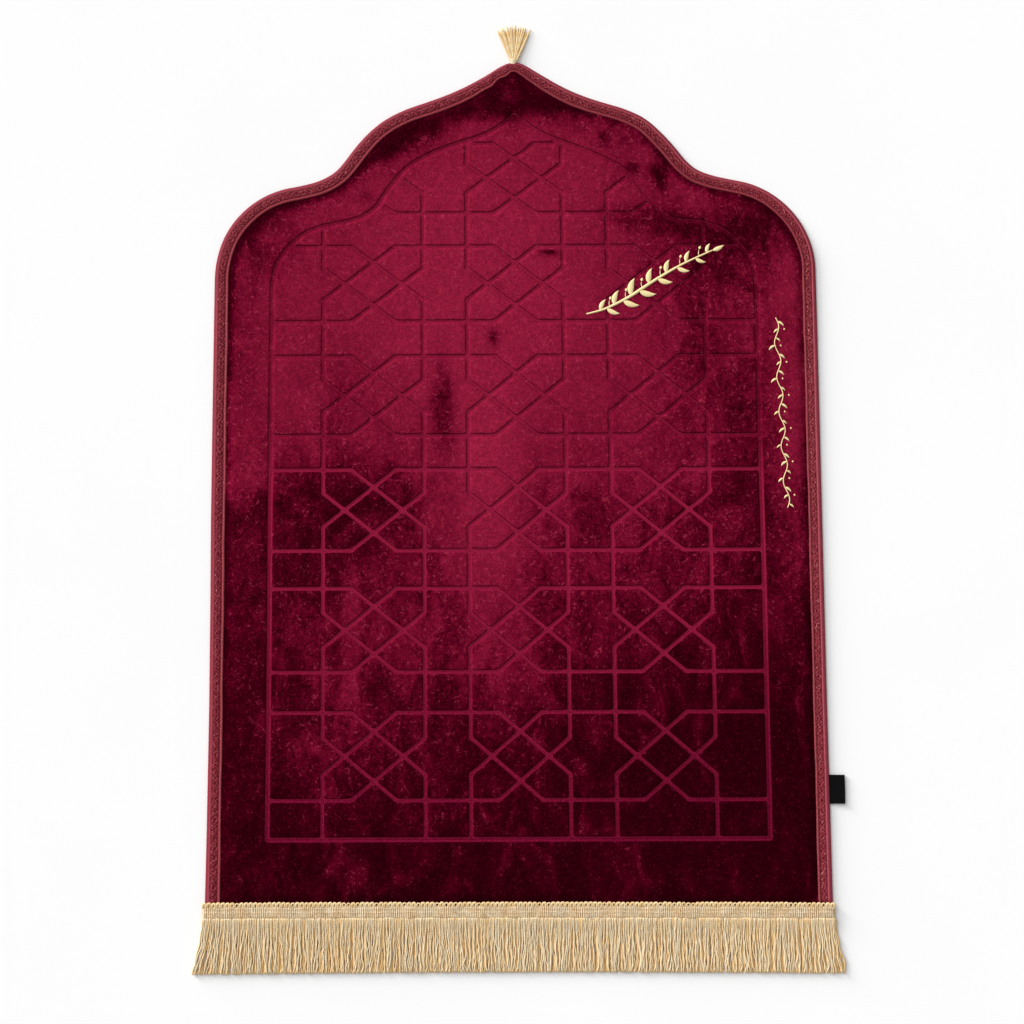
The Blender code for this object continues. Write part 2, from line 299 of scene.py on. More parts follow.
def node(tree, kind, inputs=None, output=0, **settings):
    """A new node's output; an input that is a Level is linked, any other is set."""
    made = tree.nodes.new(kind)
    for name, value in settings.items():
        setattr(made, name, value)
    for name, value in (inputs or {}).items():
        if isinstance(value, Level):
            tree.links.new(value.socket, made.inputs[name])
        else:
            made.inputs[name].default_value = value
    return Level(made.outputs[output])


def mixed(share, a, b, blend="MIX"):
    """Colour a turned towards colour b by a share."""
    tree = next(one.tree for one in (share, a, b) if isinstance(one, Level))
    return node(tree, "ShaderNodeMix", {0: share, 6: a, 7: b}, 2, data_type="RGBA", blend_type=blend)


def stretch(value, low, high, to_low=0.0, to_high=1.0):
    """value eased from low..high to to_low..to_high."""
    inputs = {0: value, 1: low, 2: high, 3: to_low, 4: to_high}
    return node(value.tree, "ShaderNodeMapRange", inputs, interpolation_type="SMOOTHSTEP")


def noise(place, scale, detail=3.0, rough=0.55, bend=0.0):
    """Noise from 0 to 1, with features about 1/scale metres across."""
    inputs = {"Vector": place, "Scale": scale, "Detail": detail, "Roughness": rough, "Distortion": bend}
    return node(place.tree, "ShaderNodeTexNoise", inputs, "Fac")


def curls(place, scale, cycles, bend):
    """Curling lines from -1 to 1, along the level lines of a slow noise: sin(2 pi cycles noise)."""
    return (noise(place, scale, 1.0, 0.5, bend) * (2 * math.pi * cycles)).sine()


def band(value, middle, half):
    """1 where value is at the middle, easing to 0 at half a width to either side."""
    return stretch((value - middle).math("ABSOLUTE"), 0.0, half, 1.0, 0.0)


def parts(place):
    """The x and y of a place."""
    return node(place.tree, "ShaderNodeSeparateXYZ", {0: place}).beside()[:2]


def object_place(tree):
    """The piece's own coordinates."""
    return node(tree, "ShaderNodeTexCoord", output="Object")


def kept(tree, name):
    """A number kept at the mesh's points."""
    return node(tree, "ShaderNodeAttribute", output="Fac", attribute_name=name)


def effect(name, inputs, build):
    """A shader node group: build turns its inputs, in order, into its colour and its height.

    An input is named with the value it starts from: None for a vector, a number, or a colour.
    """
    tree = bpy.data.node_groups.new(name, "ShaderNodeTree")
    for key, value in inputs.items():
        kind = "Vector" if value is None else "Float" if isinstance(value, float) else "Color"
        socket = tree.interface.new_socket(name=key, in_out="INPUT", socket_type="NodeSocket" + kind)
        if value is not None:
            socket.default_value = value
    for key, kind in (("Color", "Color"), ("Height", "Float")):
        tree.interface.new_socket(name=key, in_out="OUTPUT", socket_type="NodeSocket" + kind)
    given = tree.nodes.new("NodeGroupInput").outputs
    out = tree.nodes.new("NodeGroupOutput").inputs
    for key, level in zip(("Color", "Height"), build(*(Level(given[key]) for key in inputs))):
        tree.links.new(level.socket, out[key])
    return tree


def using(tree, shared, **inputs):
    """The colour and height that a shared effect gives a material for its own inputs."""
    return node(tree, "ShaderNodeGroup", inputs, node_tree=shared).beside()


def material(name, constants):
    """A new material: its node tree and its shader, with the constants set on the shader's sockets."""
    made = bpy.data.materials.new(name)
    made.use_nodes = True
    shader = made.node_tree.nodes["Principled BSDF"]
    for key, value in constants.items():
        shader.inputs[key].default_value = value
    return made, made.node_tree, shader


def dress(shader, colour, height, depth, strength):
    """Feeds a colour to the shader, and a height in shares of depth metres to its normal."""
    inputs = {"Strength": strength, "Distance": depth, "Height": height}
    bump = node(colour.tree, "ShaderNodeBump", inputs)
    colour.tree.links.new(colour.socket, shader.inputs["Base Color"])
    colour.tree.links.new(bump.socket, shader.inputs["Normal"])


# ---------------------------------------------------------------- finishes

BLACK = (0.0, 0.0, 0.0, 1.0)
WHITE = (1.0, 1.0, 1.0, 1.0)


def brushed_pile(place, lay, deep, dark, middle, light, strand):
    """Brushed pile: a colour by the way the pile lies, with wisps, curled strokes and stray fibres.

    The lay is spread by broad and middling noise, most where it is neither dark nor light. Strokes
    and curls are the level lines of a slow noise, sin(2 pi cycles noise).
    """
    drawn = lay
    lay = lay.clamped()
    off = (lay - 0.42) * 2.6
    between = (1.0 - off * off).clamped()
    drawn_out = {0: place, 1: (1.35, 0.72, 1.0)}
    brushed = node(place.tree, "ShaderNodeVectorMath", drawn_out, operation="MULTIPLY")
    broad = noise(brushed, 17.0, 6.0, 0.60, 1.1) - 0.5
    wisp = noise(brushed, 62.0, 3.0, 0.62, 2.2) - 0.5
    lay = lay + broad * (between * 0.72 + 0.20) + wisp * (between * 0.30 + 0.12)
    lay = lay + (stretch(lay, 0.22, 0.62) - lay) * between * 0.18
    stroke = curls(place, 62.0, 4.4, 1.8) * stretch(noise(place, 105.0, 2.0, 0.5, 0.5), 0.38, 0.58)
    lay = lay + stroke * (between * 0.10 + 0.02) + broad * stretch(drawn, 0.05, 0.32, 1.3, 0.0)
    colour = mixed(stretch(lay, -0.08, 0.38), deep, dark)
    colour = mixed(stretch(lay, 0.14, 0.64), colour, middle)
    colour = mixed(stretch(lay, 0.46, 1.08), colour, light)
    speck = stretch(noise(place, 390.0, 1.0, 0.5, 0.6), 0.64, 0.74, 0.0, 0.26)
    colour = mixed(speck, colour, light)
    fibre = stretch(curls(place, 78.0, 3.4, 1.6), 0.55, 0.95)
    fibre = fibre * stretch(noise(place, 150.0, 2.0, 0.5, 0.8), 0.50, 0.60)
    colour = mixed(fibre * stretch(lay, 0.05, 0.45, 0.06, 0.55), colour, strand)
    curl = curls(place, 96.0, 4.6, 1.0)
    fine = noise(place, 760.0, 2.0, 0.6, 1.0)
    shade = curl * 0.175 + 0.985 + (fine - 0.5) * 0.60
    return mixed(1.0, colour, shade, "MULTIPLY"), curl * 0.25 + fine


def plain_weave(place, pitch, shade, base):
    """Plain weave: two sets of threads cross, each rising over and dipping under the other.

    The height is (sin u + sin v) / 4 + 0.4 sin(u / 2) sin(v / 2) + 0.5, where u and v are the pitch
    times x and y.
    """
    u, v = (part * pitch for part in parts(place))
    height = (u.sine() + v.sine()) * 0.25 + (u * 0.5).sine() * (v * 0.5).sine() * 0.4 + 0.5
    level = noise(place, 90.0, 4.0, 0.6, 0.4) * 0.5 + height * 0.5
    return mixed(stretch(level, 0.1, 0.85), mixed(shade, base, BLACK), base), height


def twisted_yarn(along, around, tone, place, dark, light, twist, fuzz):
    """Twisted yarn: slanting plies along a cord, a tone for each cord, and painted shade on its flanks.

    The plies are sin(twist along + 4 pi around), and the painted shade on the flanks follows
    sin(2 pi around).
    """
    ply = (along * twist + around * (4 * math.pi)).sine() * 0.5 + 0.5
    hair = noise(place, 900.0, 3.0, 0.6, 0.5)
    broad = noise(place, 70.0, 3.0, 0.5, 0.3)
    level = ply * 0.35 + tone * 0.55 + (hair - 0.5) * fuzz + (broad - 0.5) * 0.4
    # Painted shade: the cord darkens towards its dark dye on the flanks, where sin(2 pi around) is low.
    level = level * stretch((around * (2 * math.pi)).sine(), -0.5, 0.75, 0.12, 1.0)
    return mixed(stretch(level, 0.0, 0.85), dark, light), hair * 0.4 + ply


PILE = effect("pile", {
    "Place": None, "Lay": 0.5, "Deep": BLACK, "Dark": BLACK, "Middle": WHITE, "Light": WHITE,
    "Strand": WHITE,
}, brushed_pile)
WEAVE = effect("weave", {"Place": None, "Pitch": 1000.0, "Shade": 0.3, "Base": WHITE}, plain_weave)
YARN = effect("yarn", {
    "Along": 0.0, "Around": 0.0, "Tone": 0.5, "Place": None, "Dark": BLACK, "Light": WHITE, "Twist": 250.0,
    "Fuzz": 0.35,
}, twisted_yarn)


def velvet_finish():
    """Wine velvet: pile that lies light or dark, and pressed lines with a shaded and a lit wall.

    The pressed band and its walls are read from "gap", the millimetres to the nearest pressed line's
    middle, and "lit", which is above 0 on the shaded wall and below it on the lit one. The shaded
    wall gets painted shade, a dark line, and, further in, a painted pale highlight; the lit wall
    gets a little painted shade; and the frame's own middle and the crossings, where gap is least,
    keep some of the pile's colour.
    """
    made, tree, shader = material("wine velvet", {
        "Roughness": 0.9, "Specular IOR Level": 0.0, "Sheen Weight": 0.08, "Sheen Roughness": 0.35,
        "Sheen Tint": (0.80, 0.03, 0.16, 1.0),
    })
    place, lay, gap, lit = object_place(tree), kept(tree, "lay"), kept(tree, "gap"), kept(tree, "lit")
    pile, height = using(
        tree, PILE, Place=place, Lay=lay, Deep=(0.0215, 0.0, 0.0027, 1), Dark=(0.052, 0.0, 0.0062, 1),
        Middle=(0.136, 0.0026, 0.0172, 1), Light=(0.262, 0.0100, 0.0382, 1),
        Strand=(0.325, 0.026, 0.060, 1),
    )
    grain = stretch(noise(place, 420.0, 3.0, 0.6, 1.0), 0.3, 0.7)
    along = parts(place)[1]
    dim = (0.045, 0.0, 0.006, 1)
    low = mixed(grain, (0.104, 0.0024, 0.017, 1), (0.208, 0.0072, 0.035, 1))
    high = mixed(grain, (0.196, 0.0064, 0.029, 1), (0.268, 0.0115, 0.043, 1))
    pressed = mixed(stretch(along, -0.47, -0.03), low, high)
    pressed = mixed(stretch(lay, -0.05, 0.20, 0.28, 0.0), pressed, dim)
    pressed = mixed(stretch(along, 0.0, 0.09, 0.0, 0.88), pressed, mixed(0.05, pile, dim))
    colour = mixed(stretch(gap, 2.20, 2.95, 1.0, 0.0), pile, pressed)
    # Painted shade: the wall facing the light is dulled a little towards dim.
    colour = mixed(band(gap, 2.4, 1.3) * stretch(lit, -0.6, 0.0, 0.15, 0.0), colour, dim)
    # Painted shade: a dark line on the wall of each pressed line that faces away from the light.
    painted_wall_shade = band(gap, 2.6, 0.74) * stretch(lit, 0.0, 0.55, 0.0, 0.82)
    painted_wall_shade = painted_wall_shade * stretch(lay, 0.10, 0.45, 0.30, 1.0)
    colour = mixed(painted_wall_shade, colour, (0.028, 0.0, 0.0035, 1))
    # Painted highlight: a pale line on the channel floor beside the shaded wall.
    painted_highlight = band(gap, 1.2, 0.9) * stretch(lit, 0.0, 0.55, 0.0, 0.38)
    colour = mixed(painted_highlight, colour, (0.300, 0.014, 0.046, 1))
    colour = mixed(stretch(gap, -0.55, 0.30, 0.42, 0.0), colour, mixed(0.5, pile, dim))
    dress(shader, colour, height, 0.0004, 0.3)
    return made


def binding_finish():
    """Rose-red woven tape: smooth edges with painted light on their crests, and a dark braid with pale
    flecks.
    """
    made, tree, shader = material("binding tape", {
        "Roughness": 0.75, "Specular IOR Level": 0.12, "Sheen Weight": 0.03,
    })
    place = object_place(tree)
    # Painted light: the tape's own dark red turns pale rose on the tops of its rolled edge and selvedge.
    dye_and_painted_light = mixed(kept(tree, "crest"), (0.208, 0.0138, 0.0265, 1), (0.520, 0.098, 0.138, 1))
    woven, height = using(tree, WEAVE, Place=place, Pitch=5200.0, Shade=0.30, Base=dye_and_painted_light)
    cloudy = stretch(noise(place, 210.0, 3.0, 0.6, 0.4), 0.3, 0.7, 0.0, 0.30)
    smooth = mixed(cloudy, woven, (0.24, 0.018, 0.034, 1))
    curl = curls(place, 230.0, 3.2, 0.8) * 0.28 + kept(tree, "relief")
    looped = mixed(stretch(curl, -0.05, 0.80), (0.105, 0.0030, 0.010, 1), (0.300, 0.036, 0.053, 1))
    fleck = stretch(noise(place, 440.0, 2.0, 0.5, 0.6), 0.54, 0.64)
    looped = mixed(fleck * stretch(curl, 0.55, 1.15, 0.0, 0.85), looped, (0.64, 0.30, 0.25, 1))
    thread = band(noise(place, 640.0, 1.0, 0.5, 1.5), 0.42, 0.06) * 0.5
    looped = mixed(thread, looped, (0.045, 0.0, 0.004, 1))
    colour = mixed(kept(tree, "braid"), smooth, looped)
    colour = mixed(kept(tree, "gilt") * stretch(fleck, 0.0, 1.0, 0.22, 0.75), colour, (0.50, 0.17, 0.13, 1))
    dress(shader, colour, curl * 0.8 + height, 0.0002, 0.45)
    return made


def yarn_finish(name, dark, light, twist, fuzz=0.35, gloss=0.15):
    """Cream-gold yarn, from the cord's own UV map and its tone; the cut ends are a warm, pale gold,
    partly their own colour and partly painted light over their shade.
    """
    made, tree, shader = material(name, {
        "Roughness": 0.65 - 0.25 * gloss, "Specular IOR Level": gloss, "Sheen Weight": 0.04,
    })
    around, along = parts(node(tree, "ShaderNodeUVMap"))
    yarn, height = using(
        tree, YARN, Along=along, Around=around, Tone=kept(tree, "shade"), Place=object_place(tree),
        Dark=dark, Light=light, Twist=twist, Fuzz=fuzz,
    )
    # The ends' pale gold is partly the cut yarn's own colour and partly painted light over their shade.
    end = stretch(kept(tree, "share"), 0.94, 1.0, 0.0, 0.55)
    dress(shader, mixed(end, yarn, (0.90, 0.65, 0.32, 1)), height, 0.0002, fuzz)
    return made


def heading_finish():
    """The heading's cloth: upright ribs over level weft threads, in cream and gold.

    The ribs follow sin(2 pi x / RIB_PITCH) and the weft sin(2 pi y / WEFT_PITCH), both moved by noise.
    """
    made, tree, shader = material("heading cloth", {"Roughness": 0.7, "Specular IOR Level": 0.15})
    place = object_place(tree)
    x, y = parts(place)
    slack = noise(place, 110.0, 3.0, 0.6, 0.6)
    rib = (x * (2 * math.pi / RIB_PITCH) + slack * 4.0).sine()
    weft = (y * (2 * math.pi / WEFT_PITCH) + slack * 5.0).sine()
    way = stretch(noise(place, 60.0, 3.0, 0.6, 0.8), 0.42, 0.58)
    tone = noise(place, 620.0, 2.0, 0.6, 0.5) + rib * (way * 0.22 + 0.12)
    tone = tone + weft * (way * -0.12 + 0.17) + (slack - 0.5) * 0.7
    colour = mixed(stretch(tone, 0.12, 0.52), (0.36, 0.20, 0.08, 1), (0.62, 0.44, 0.24, 1))
    colour = mixed(stretch(tone, 0.46, 0.84), colour, (0.80, 0.69, 0.51, 1))
    dress(shader, colour, tone, 0.0004, 0.6)
    return made


def cloth_finish(name, colour, pitch, shade, constants):
    """A plain woven cloth of one dye."""
    made, tree, shader = material(name, constants)
    woven, height = using(tree, WEAVE, Place=object_place(tree), Pitch=pitch, Shade=shade, Base=colour)
    dress(shader, woven, height, 0.0003, 0.6)
    return made


RIB_PITCH, WEFT_PITCH = 2.7 * MM, 1.15 * MM
VELVET = velvet_finish()
TAPE = binding_finish()
FRINGE_YARN = yarn_finish("fringe yarn", (0.72, 0.50, 0.235, 1), (0.695, 0.58, 0.40, 1), 2600.0, gloss=0.6)
# The under yarn's deeper gold is painted shade between the strands above it.
UNDER_YARN = yarn_finish("under yarn", (0.72, 0.44, 0.170, 1), (0.73, 0.53, 0.275, 1), 2600.0)
GILT_YARN = yarn_finish("gilt yarn", (0.68, 0.445, 0.19, 1), (0.80, 0.615, 0.355, 1), 3000.0)
GOLD_YARN = yarn_finish("tassel yarn", (0.66, 0.41, 0.14, 1), (0.76, 0.585, 0.34, 1), 500.0, 0.04)
PALE_YARN = yarn_finish("neck yarn", (0.78, 0.58, 0.32, 1), (0.88, 0.76, 0.54, 1), 3000.0, 0.2)
GOLD_THREAD = yarn_finish("gold thread", (0.70, 0.52, 0.20, 1), (0.95, 0.84, 0.50, 1), 9000.0)
HEADING_CLOTH = heading_finish()
BACKING = cloth_finish("backing cloth", (0.075, 0.006, 0.016, 1), 2400.0, 0.5, {"Roughness": 0.9})
RIBBON = cloth_finish("label ribbon", (0.006, 0.006, 0.007, 1), 7000.0, 0.4, {
    "Roughness": 0.8, "Specular IOR Level": 0.03,
})


# ---------------------------------------------------------------- camera, floor and light

LOOK_AT = Vector((-0.0057, -0.0357, 0.0))
CAMERA_DISTANCE = 2.606
CAMERA_TILT = math.radians(8)
CAMERA_ROLL = math.radians(0.22)
# Each sun's name, the way to it, its strength and how many degrees across it is.
SUNS = [("key", (-0.68, 0.56, 0.62), 1.75, 40), ("low", (-0.78, 0.63, 0.195), 4.07, 22)]
SKY_STRENGTH = 0.52
FLOOR_HALF = 6.0
LENS_MM = 70.0
SENSOR_MM = 36.0


def camera_and_light():
    """The camera, leaning back from straight above, two soft suns, an even sky and the pale floor."""
    data = bpy.data.cameras.new("camera")
    data.lens, data.sensor_width = LENS_MM, SENSOR_MM
    data.clip_start, data.clip_end = 0.05, 50.0
    camera = put("camera", data)
    turn = Matrix.Rotation(CAMERA_TILT, 4, "X") @ Matrix.Rotation(-CAMERA_ROLL, 4, "Z")
    away = Matrix.Translation((0, 0, CAMERA_DISTANCE))
    camera.matrix_world = Matrix.Translation(LOOK_AT) @ turn @ away
    bpy.context.scene.camera = camera

    for name, towards, energy, spread in SUNS:
        sun_data = bpy.data.lights.new(name, "SUN")
        sun_data.energy = energy
        sun_data.angle = math.radians(spread)
        sun = put(name, sun_data)
        sun.rotation_mode = "QUATERNION"
        sun.rotation_quaternion = Vector(towards).to_track_quat("Z", "Y")

    world = bpy.data.worlds.new("sky")
    world.use_nodes = True
    sky = world.node_tree.nodes["Background"].inputs
    sky["Color"].default_value = WHITE
    sky["Strength"].default_value = SKY_STRENGTH
    bpy.context.scene.world = world
    bpy.context.scene.view_settings.view_transform = "Standard"

    mesh = bpy.data.meshes.new("floor")
    square = [(x * FLOOR_HALF, y * FLOOR_HALF, 0) for x, y in ((-1, -1), (1, -1), (1, 1), (-1, 1))]
    mesh.from_pydata(square, [], [(0, 1, 2, 3)])
    pale, tree, shader = material("pale floor", {"Roughness": 0.9, "Specular IOR Level": 0.1})
    tone = stretch(noise(object_place(tree), 3.0, 2.0), 0.2, 0.8)
    tint = mixed(tone, (0.902, 0.902, 0.904, 1), (0.912, 0.912, 0.912, 1))
    tree.links.new(tint.socket, shader.inputs["Base Color"])
    mesh.materials.append(pale)
    put("floor", mesh)


# ---------------------------------------------------------------- the edge that everything follows

# The tape runs on this far below the hem, under the fringe's heading.
EDGE_LEAD = 5.0 * MM


def drawn_outline():
    """The outline of the tape: the edge knots' line, led on straight below the hem at both ends."""
    line = both_sides(LEFT_EDGE, RIGHT_EDGE)
    return np.vstack([line[:1] - (0.0, EDGE_LEAD), line, line[-1:] - (0.0, EDGE_LEAD)])


EDGE, EDGE_AT = spaced(drawn_outline(), 1.05 * MM)
EDGE_IN = inward(EDGE)
EDGE_LENGTH = EDGE_AT[-1]
TIP_AT = float(EDGE_AT[np.argmax(EDGE[:, 1])])
# The binding's width along the edge: full on the sides, less round the arch, least at the tip.
WIDTH_KNOTS = [
    (0.0, 19.6), (0.80, 19.3), (0.98, 20.2), (TIP_AT - 0.09, 20.2), (TIP_AT - 0.03, 17.6), (TIP_AT, 16.2),
    (TIP_AT + 0.03, 18.2), (TIP_AT + 0.09, 20.9), (EDGE_LENGTH - 0.98, 20.7), (EDGE_LENGTH - 0.80, 19.8),
    (EDGE_LENGTH, 19.3),
]


def binding_width(at):
    """The binding's width by the knots, with slow slack and a gathered wave just left of the tip.

    The wave is 1.5 mm sin(2 pi d / 27 mm) under a bell curve, where d is the length from the tip.
    """
    knots = np.array(WIDTH_KNOTS)
    gather = bell(at, TIP_AT - 0.034, 0.026) * np.sin((at - TIP_AT) * 2 * math.pi / 0.027)
    slack = np.sin(at * 2 * math.pi / 0.173) * 0.25 + np.sin(at * 2 * math.pi / 0.061 + 1.0) * 0.12
    return (np.interp(at, knots[:, 0], knots[:, 1]) + 1.5 * gather + slack) * MM


# How far the rolled edge is drawn in from the outline, along the edge.
INSET_KNOTS = [
    (0.0, 0.0), (0.10, 0.8), (0.26, 1.5), (0.40, 1.0), (0.50, 0.3), (TIP_AT - 0.40, 0.3),
    (TIP_AT - 0.06, 0.9), (TIP_AT, 1.9), (TIP_AT + 0.05, 0.9), (TIP_AT + 0.20, 1.6),
    (TIP_AT + 0.42, 2.1), (TIP_AT + 0.60, 1.2),
    (EDGE_LENGTH - 0.26, 1.4), (EDGE_LENGTH - 0.10, 0.8), (EDGE_LENGTH, 0.4),
]


def chunked(measure, points, size=3000):
    """A measure of every point, taken part by part so that its tables stay small."""
    return np.concatenate([measure(points[k:k + size]) for k in range(0, len(points), size)])


def edge_distance(points):
    """Each point's distance in from the outline, and where along the outline it is nearest.

    The nearest even station gives a normal, and the distance is the offset along that normal.
    """
    every = 3
    line, normal, at = EDGE[::every], EDGE_IN[::every], EDGE_AT[::every]

    def measured(part):
        gap = part[:, None] - line[None]
        near = np.argmin((gap**2).sum(2), axis=1)
        step = gap[np.arange(len(part)), near]
        return np.column_stack([(step * normal[near]).sum(1), at[near]])

    return chunked(measured, points).T


# ---------------------------------------------------------------- the pressed lines

GROOVE_HALF = 3.0 * MM
GROOVE_FLOOR = 2.0 * MM
GROOVE_DEPTH = 0.95 * MM
SHOULDER = 4.4 * MM
FILLET = 2.8 * MM
SPOTS_APART = 1.4 * MM
FRAME_BROADER = 0.6 * MM
SHADED_TOWARDS = np.array((-0.38, 0.925))
SLANT = 0.0068
SLANT_ABOUT = 0.42
COLUMNS = [(-0.2520, -0.1200), (-0.0615, 0.0660), (0.1250, 0.2530)]
ROWS = [
    (0.9040, 1.0000), (0.7565, 0.8585), (0.6035, 0.7095),
    (0.4520, 0.5585), (0.2940, 0.4025), (0.1300, 0.2420),
]
LATTICE_LEFT, LATTICE_RIGHT, LATTICE_TOP = -0.3300, 0.3270, 1.06
BEND_ACROSS = 0.28
BEND_UP = 0.29
FRAME_BOTTOM = 0.0805


def slanted(points):
    """The lattice leans a little: x grows by SLANT for each metre down."""
    points = np.asarray(points, float)
    return np.stack([points[:, 0] + SLANT * (SLANT_ABOUT - points[:, 1]), points[:, 1]], 1)


def lattice():
    """The straight stretches and diagonals of the lattice, as pairs of points.

    In each cell a line comes in level, turns at BEND_ACROSS of the width, crosses slantwise to
    BEND_UP short of the far corner and goes on upright; its mirror images make four such lines.
    """
    lines = []
    for low, high in ROWS:
        rise = BEND_UP * (high - low)
        ends = [LATTICE_LEFT]
        for a, b in COLUMNS:
            run = BEND_ACROSS * (b - a)
            ends += [a + run, b - run]
            lines += [
                [(a + run, low), (b, high - rise)], [(b - run, low), (a, high - rise)],
                [(a + run, high), (b, low + rise)], [(b - run, high), (a, low + rise)],
            ]
        ends.append(LATTICE_RIGHT)
        for level in (low, high):
            lines += [[(a, level), (b, level)] for a, b in zip(ends[::2], ends[1::2])]
    for x in (x for pair in COLUMNS for x in pair):
        stops = [LATTICE_TOP]
        for low, high in ROWS:
            rise = BEND_UP * (high - low)
            stops += [high - rise, low + rise]
        stops.append(FRAME_BOTTOM)
        lines += [[(x, b), (x, a)] for a, b in zip(stops[::2], stops[1::2])]
    return [slanted(line) for line in lines]


def frame_line():
    """The pressed frame: a lobed arch over straight sides, and its foot."""
    arch = both_sides(LEFT_FRAME, RIGHT_FRAME)
    foot = np.array([arch[-1], (0.0, FRAME_BOTTOM), arch[0]])
    return arch, foot


def inside_frame(points, arch):
    """True inside the closed arch, where a level ray to the right crosses it an odd number of times.

    A point that lies exactly on the arch or its foot doesn't count.
    """
    p, q = arch, np.roll(arch, -1, axis=0)
    over = (p[:, 1] > points[:, None, 1]) != (q[:, 1] > points[:, None, 1])
    rise = np.where(q[:, 1] == p[:, 1], 1.0, q[:, 1] - p[:, 1])
    cut = p[:, 0] + (points[:, None, 1] - p[:, 1]) * ((q[:, 0] - p[:, 0]) / rise)
    odd = (over & (cut > points[:, None, 0])).sum(1) % 2 == 1
    return odd & (segment_gap(points, p, q).min(1) > 0)


def segment_gap(points, p, q):
    """Distances from points to segments from p to q, one row for each point."""
    run = q - p
    size = (run**2).sum(1)
    share = ((points[:, None] - p[None]) * run[None]).sum(2) / np.where(size > 0, size, 1.0)[None]
    foot = p[None] + np.clip(share, 0, 1)[..., None] * run[None]
    return np.hypot(*np.moveaxis(points[:, None] - foot, 2, 0))


# A stretch that would run beside the arch, no further off than this on average, is left out.
ALONGSIDE = 10.5 * MM
# Round the arch, but not on its right, the lattice's lines stop short of the frame; elsewhere they meet it.
STOPPED_FROM_UP, STOPPED_TO_X = 0.80, 0.22
STOPPED_SHORT, MEETING = 7.0 * MM, 0.5 * MM


def clipped(lines, arch):
    """The lattice's lines, each cut short where it would come too near the frame's arch or leave it."""
    kept_lines = []
    for line in lines:
        length = math.hypot(*(line[1] - line[0]))
        share = np.linspace(0, 1, max(3, int(length / (1.0 * MM))))
        track = line[0] + share[:, None] * (line[1] - line[0])
        stopped = (track[:, 1] > STOPPED_FROM_UP) & (track[:, 0] < STOPPED_TO_X)
        gap = segment_gap(track, arch[:-1], arch[1:]).min(1)
        good = inside_frame(track, arch) & (gap > np.where(stopped, STOPPED_SHORT, MEETING))
        if good.sum() > 6 and gap[good].mean() > ALONGSIDE:
            span = share[good]
            kept_lines.append(line[0] + np.array([[span[0]], [span[-1]]]) * (line[1] - line[0]))
    return kept_lines


def rails(line, offsets, step):
    """Points beside a line, a row for each offset, at even steps with mitred bends."""
    even, _ = spaced(line, step)
    normal = inward(even)
    return (even[None] + np.asarray(offsets)[:, None, None] * normal[None]).reshape(-1, 2)


# ---------------------------------------------------------------- velvet

VELVET_TOP = 8.0 * MM
VELVET_RIM = 4.5 * MM
BACK_RIM = 1.5 * MM
BACK_LOW = 0.25 * MM
SWELL = 14.0 * MM
TUCK = 3.0 * MM
HEM_TUCK = 17.0 * MM
# How far the face falls at a groove's shoulder and under the tape, and where it rises from the hem.
SHOULDER_DROP, TUCK_DROP, HEM_FREE = 0.15 * MM, 0.3 * MM, 0.9 * MM
# In the "gap" attribute a place this many mm from a pressed line, or further, counts as this far.
FARTHEST = 9.0

# Where the pile lies dark or light: centre, half sizes, turn in degrees, amount, and how sharp.
PATCHES = [
    (-46, 1068, 34, 24, 30, -0.80, 2), (32, 1070, 38, 28, -28, -0.80, 2),
    (-6, 1045, 40, 16, 0, -0.45, 2), (-130, 1026, 84, 33, 24, -0.63, 2),
    (-168, 1000, 20, 28, -30, -0.20, 2), (-236, 970, 62, 30, 30, -0.42, 2),
    (-197, 925, 14, 10, 0, -0.25, 2), (173, 895, 57, 23, -8, -0.35, 4),
    (238, 884, 34, 16, -15, -0.08, 3), (189, 962, 15, 11, -30, -0.50, 2),
    (125, 1020, 72, 28, -25, -0.22, 2), (165, 948, 42, 26, -30, -0.20, 2),
    (117, 1006, 9, 12, 0, -0.38, 2), (157, 967, 10, 9, 0, -0.50, 2), (194, 944, 7, 13, 10, -0.35, 2),
    (318, 885, 50, 42, 10, -0.41, 2), (200, 845, 70, 40, 0, -0.13, 2), (270, 800, 84, 150, 0, -0.32, 3),
    (275, 620, 90, 110, 0, -0.17, 2), (-338, 890, 60, 56, 0, -0.30, 2),
    (-366, 740, 36, 150, 0, -0.20, 2), (-366, 548, 34, 26, 0, 0.16, 2), (-95, 638, 17, 74, 4, -0.46, 3),
    (-30, 736, 7, 11, 0, -0.8, 2), (46, 850, 15, 4, 0, -0.75, 3), (-228, 510, 115, 62, 0, -0.22, 4),
    (105, 490, 28, 40, 0, -0.20, 3), (-38, 505, 52, 135, 0, 0.42, 3), (-108, 490, 26, 60, 0, 0.10, 2),
    (-22, 330, 46, 80, 0, 0.20, 2), (-230, 190, 78, 120, 0, 0.13, 2), (-60, 800, 150, 200, 0, 0.17, 4),
    (305, 555, 46, 110, 0, -0.15, 2), (255, 190, 175, 200, 0, -0.25, 3),
    (-345, 330, 62, 170, 0, -0.12, 2), (52, 520, 10, 110, -3, 0.14, 3),
    (-218, 630, 76, 86, 0, -0.15, 3), (-248, 430, 76, 42, 0, -0.17, 3), (165, 355, 34, 62, 0, 0.10, 3),
    (326, 260, 34, 200, 0, -0.14, 4), (-214, 330, 15, 122, 0, 0.17, 8),
]
LAY_UP = [0.0, 0.056, 0.108, 0.213, 0.315, 0.418, 0.520, 0.570, 0.630, 0.700, 1.1]
LAY_BASE = [0.04, 0.08, 0.18, 0.26, 0.36, 0.42, 0.48, 0.62, 0.72, 0.76, 0.76]


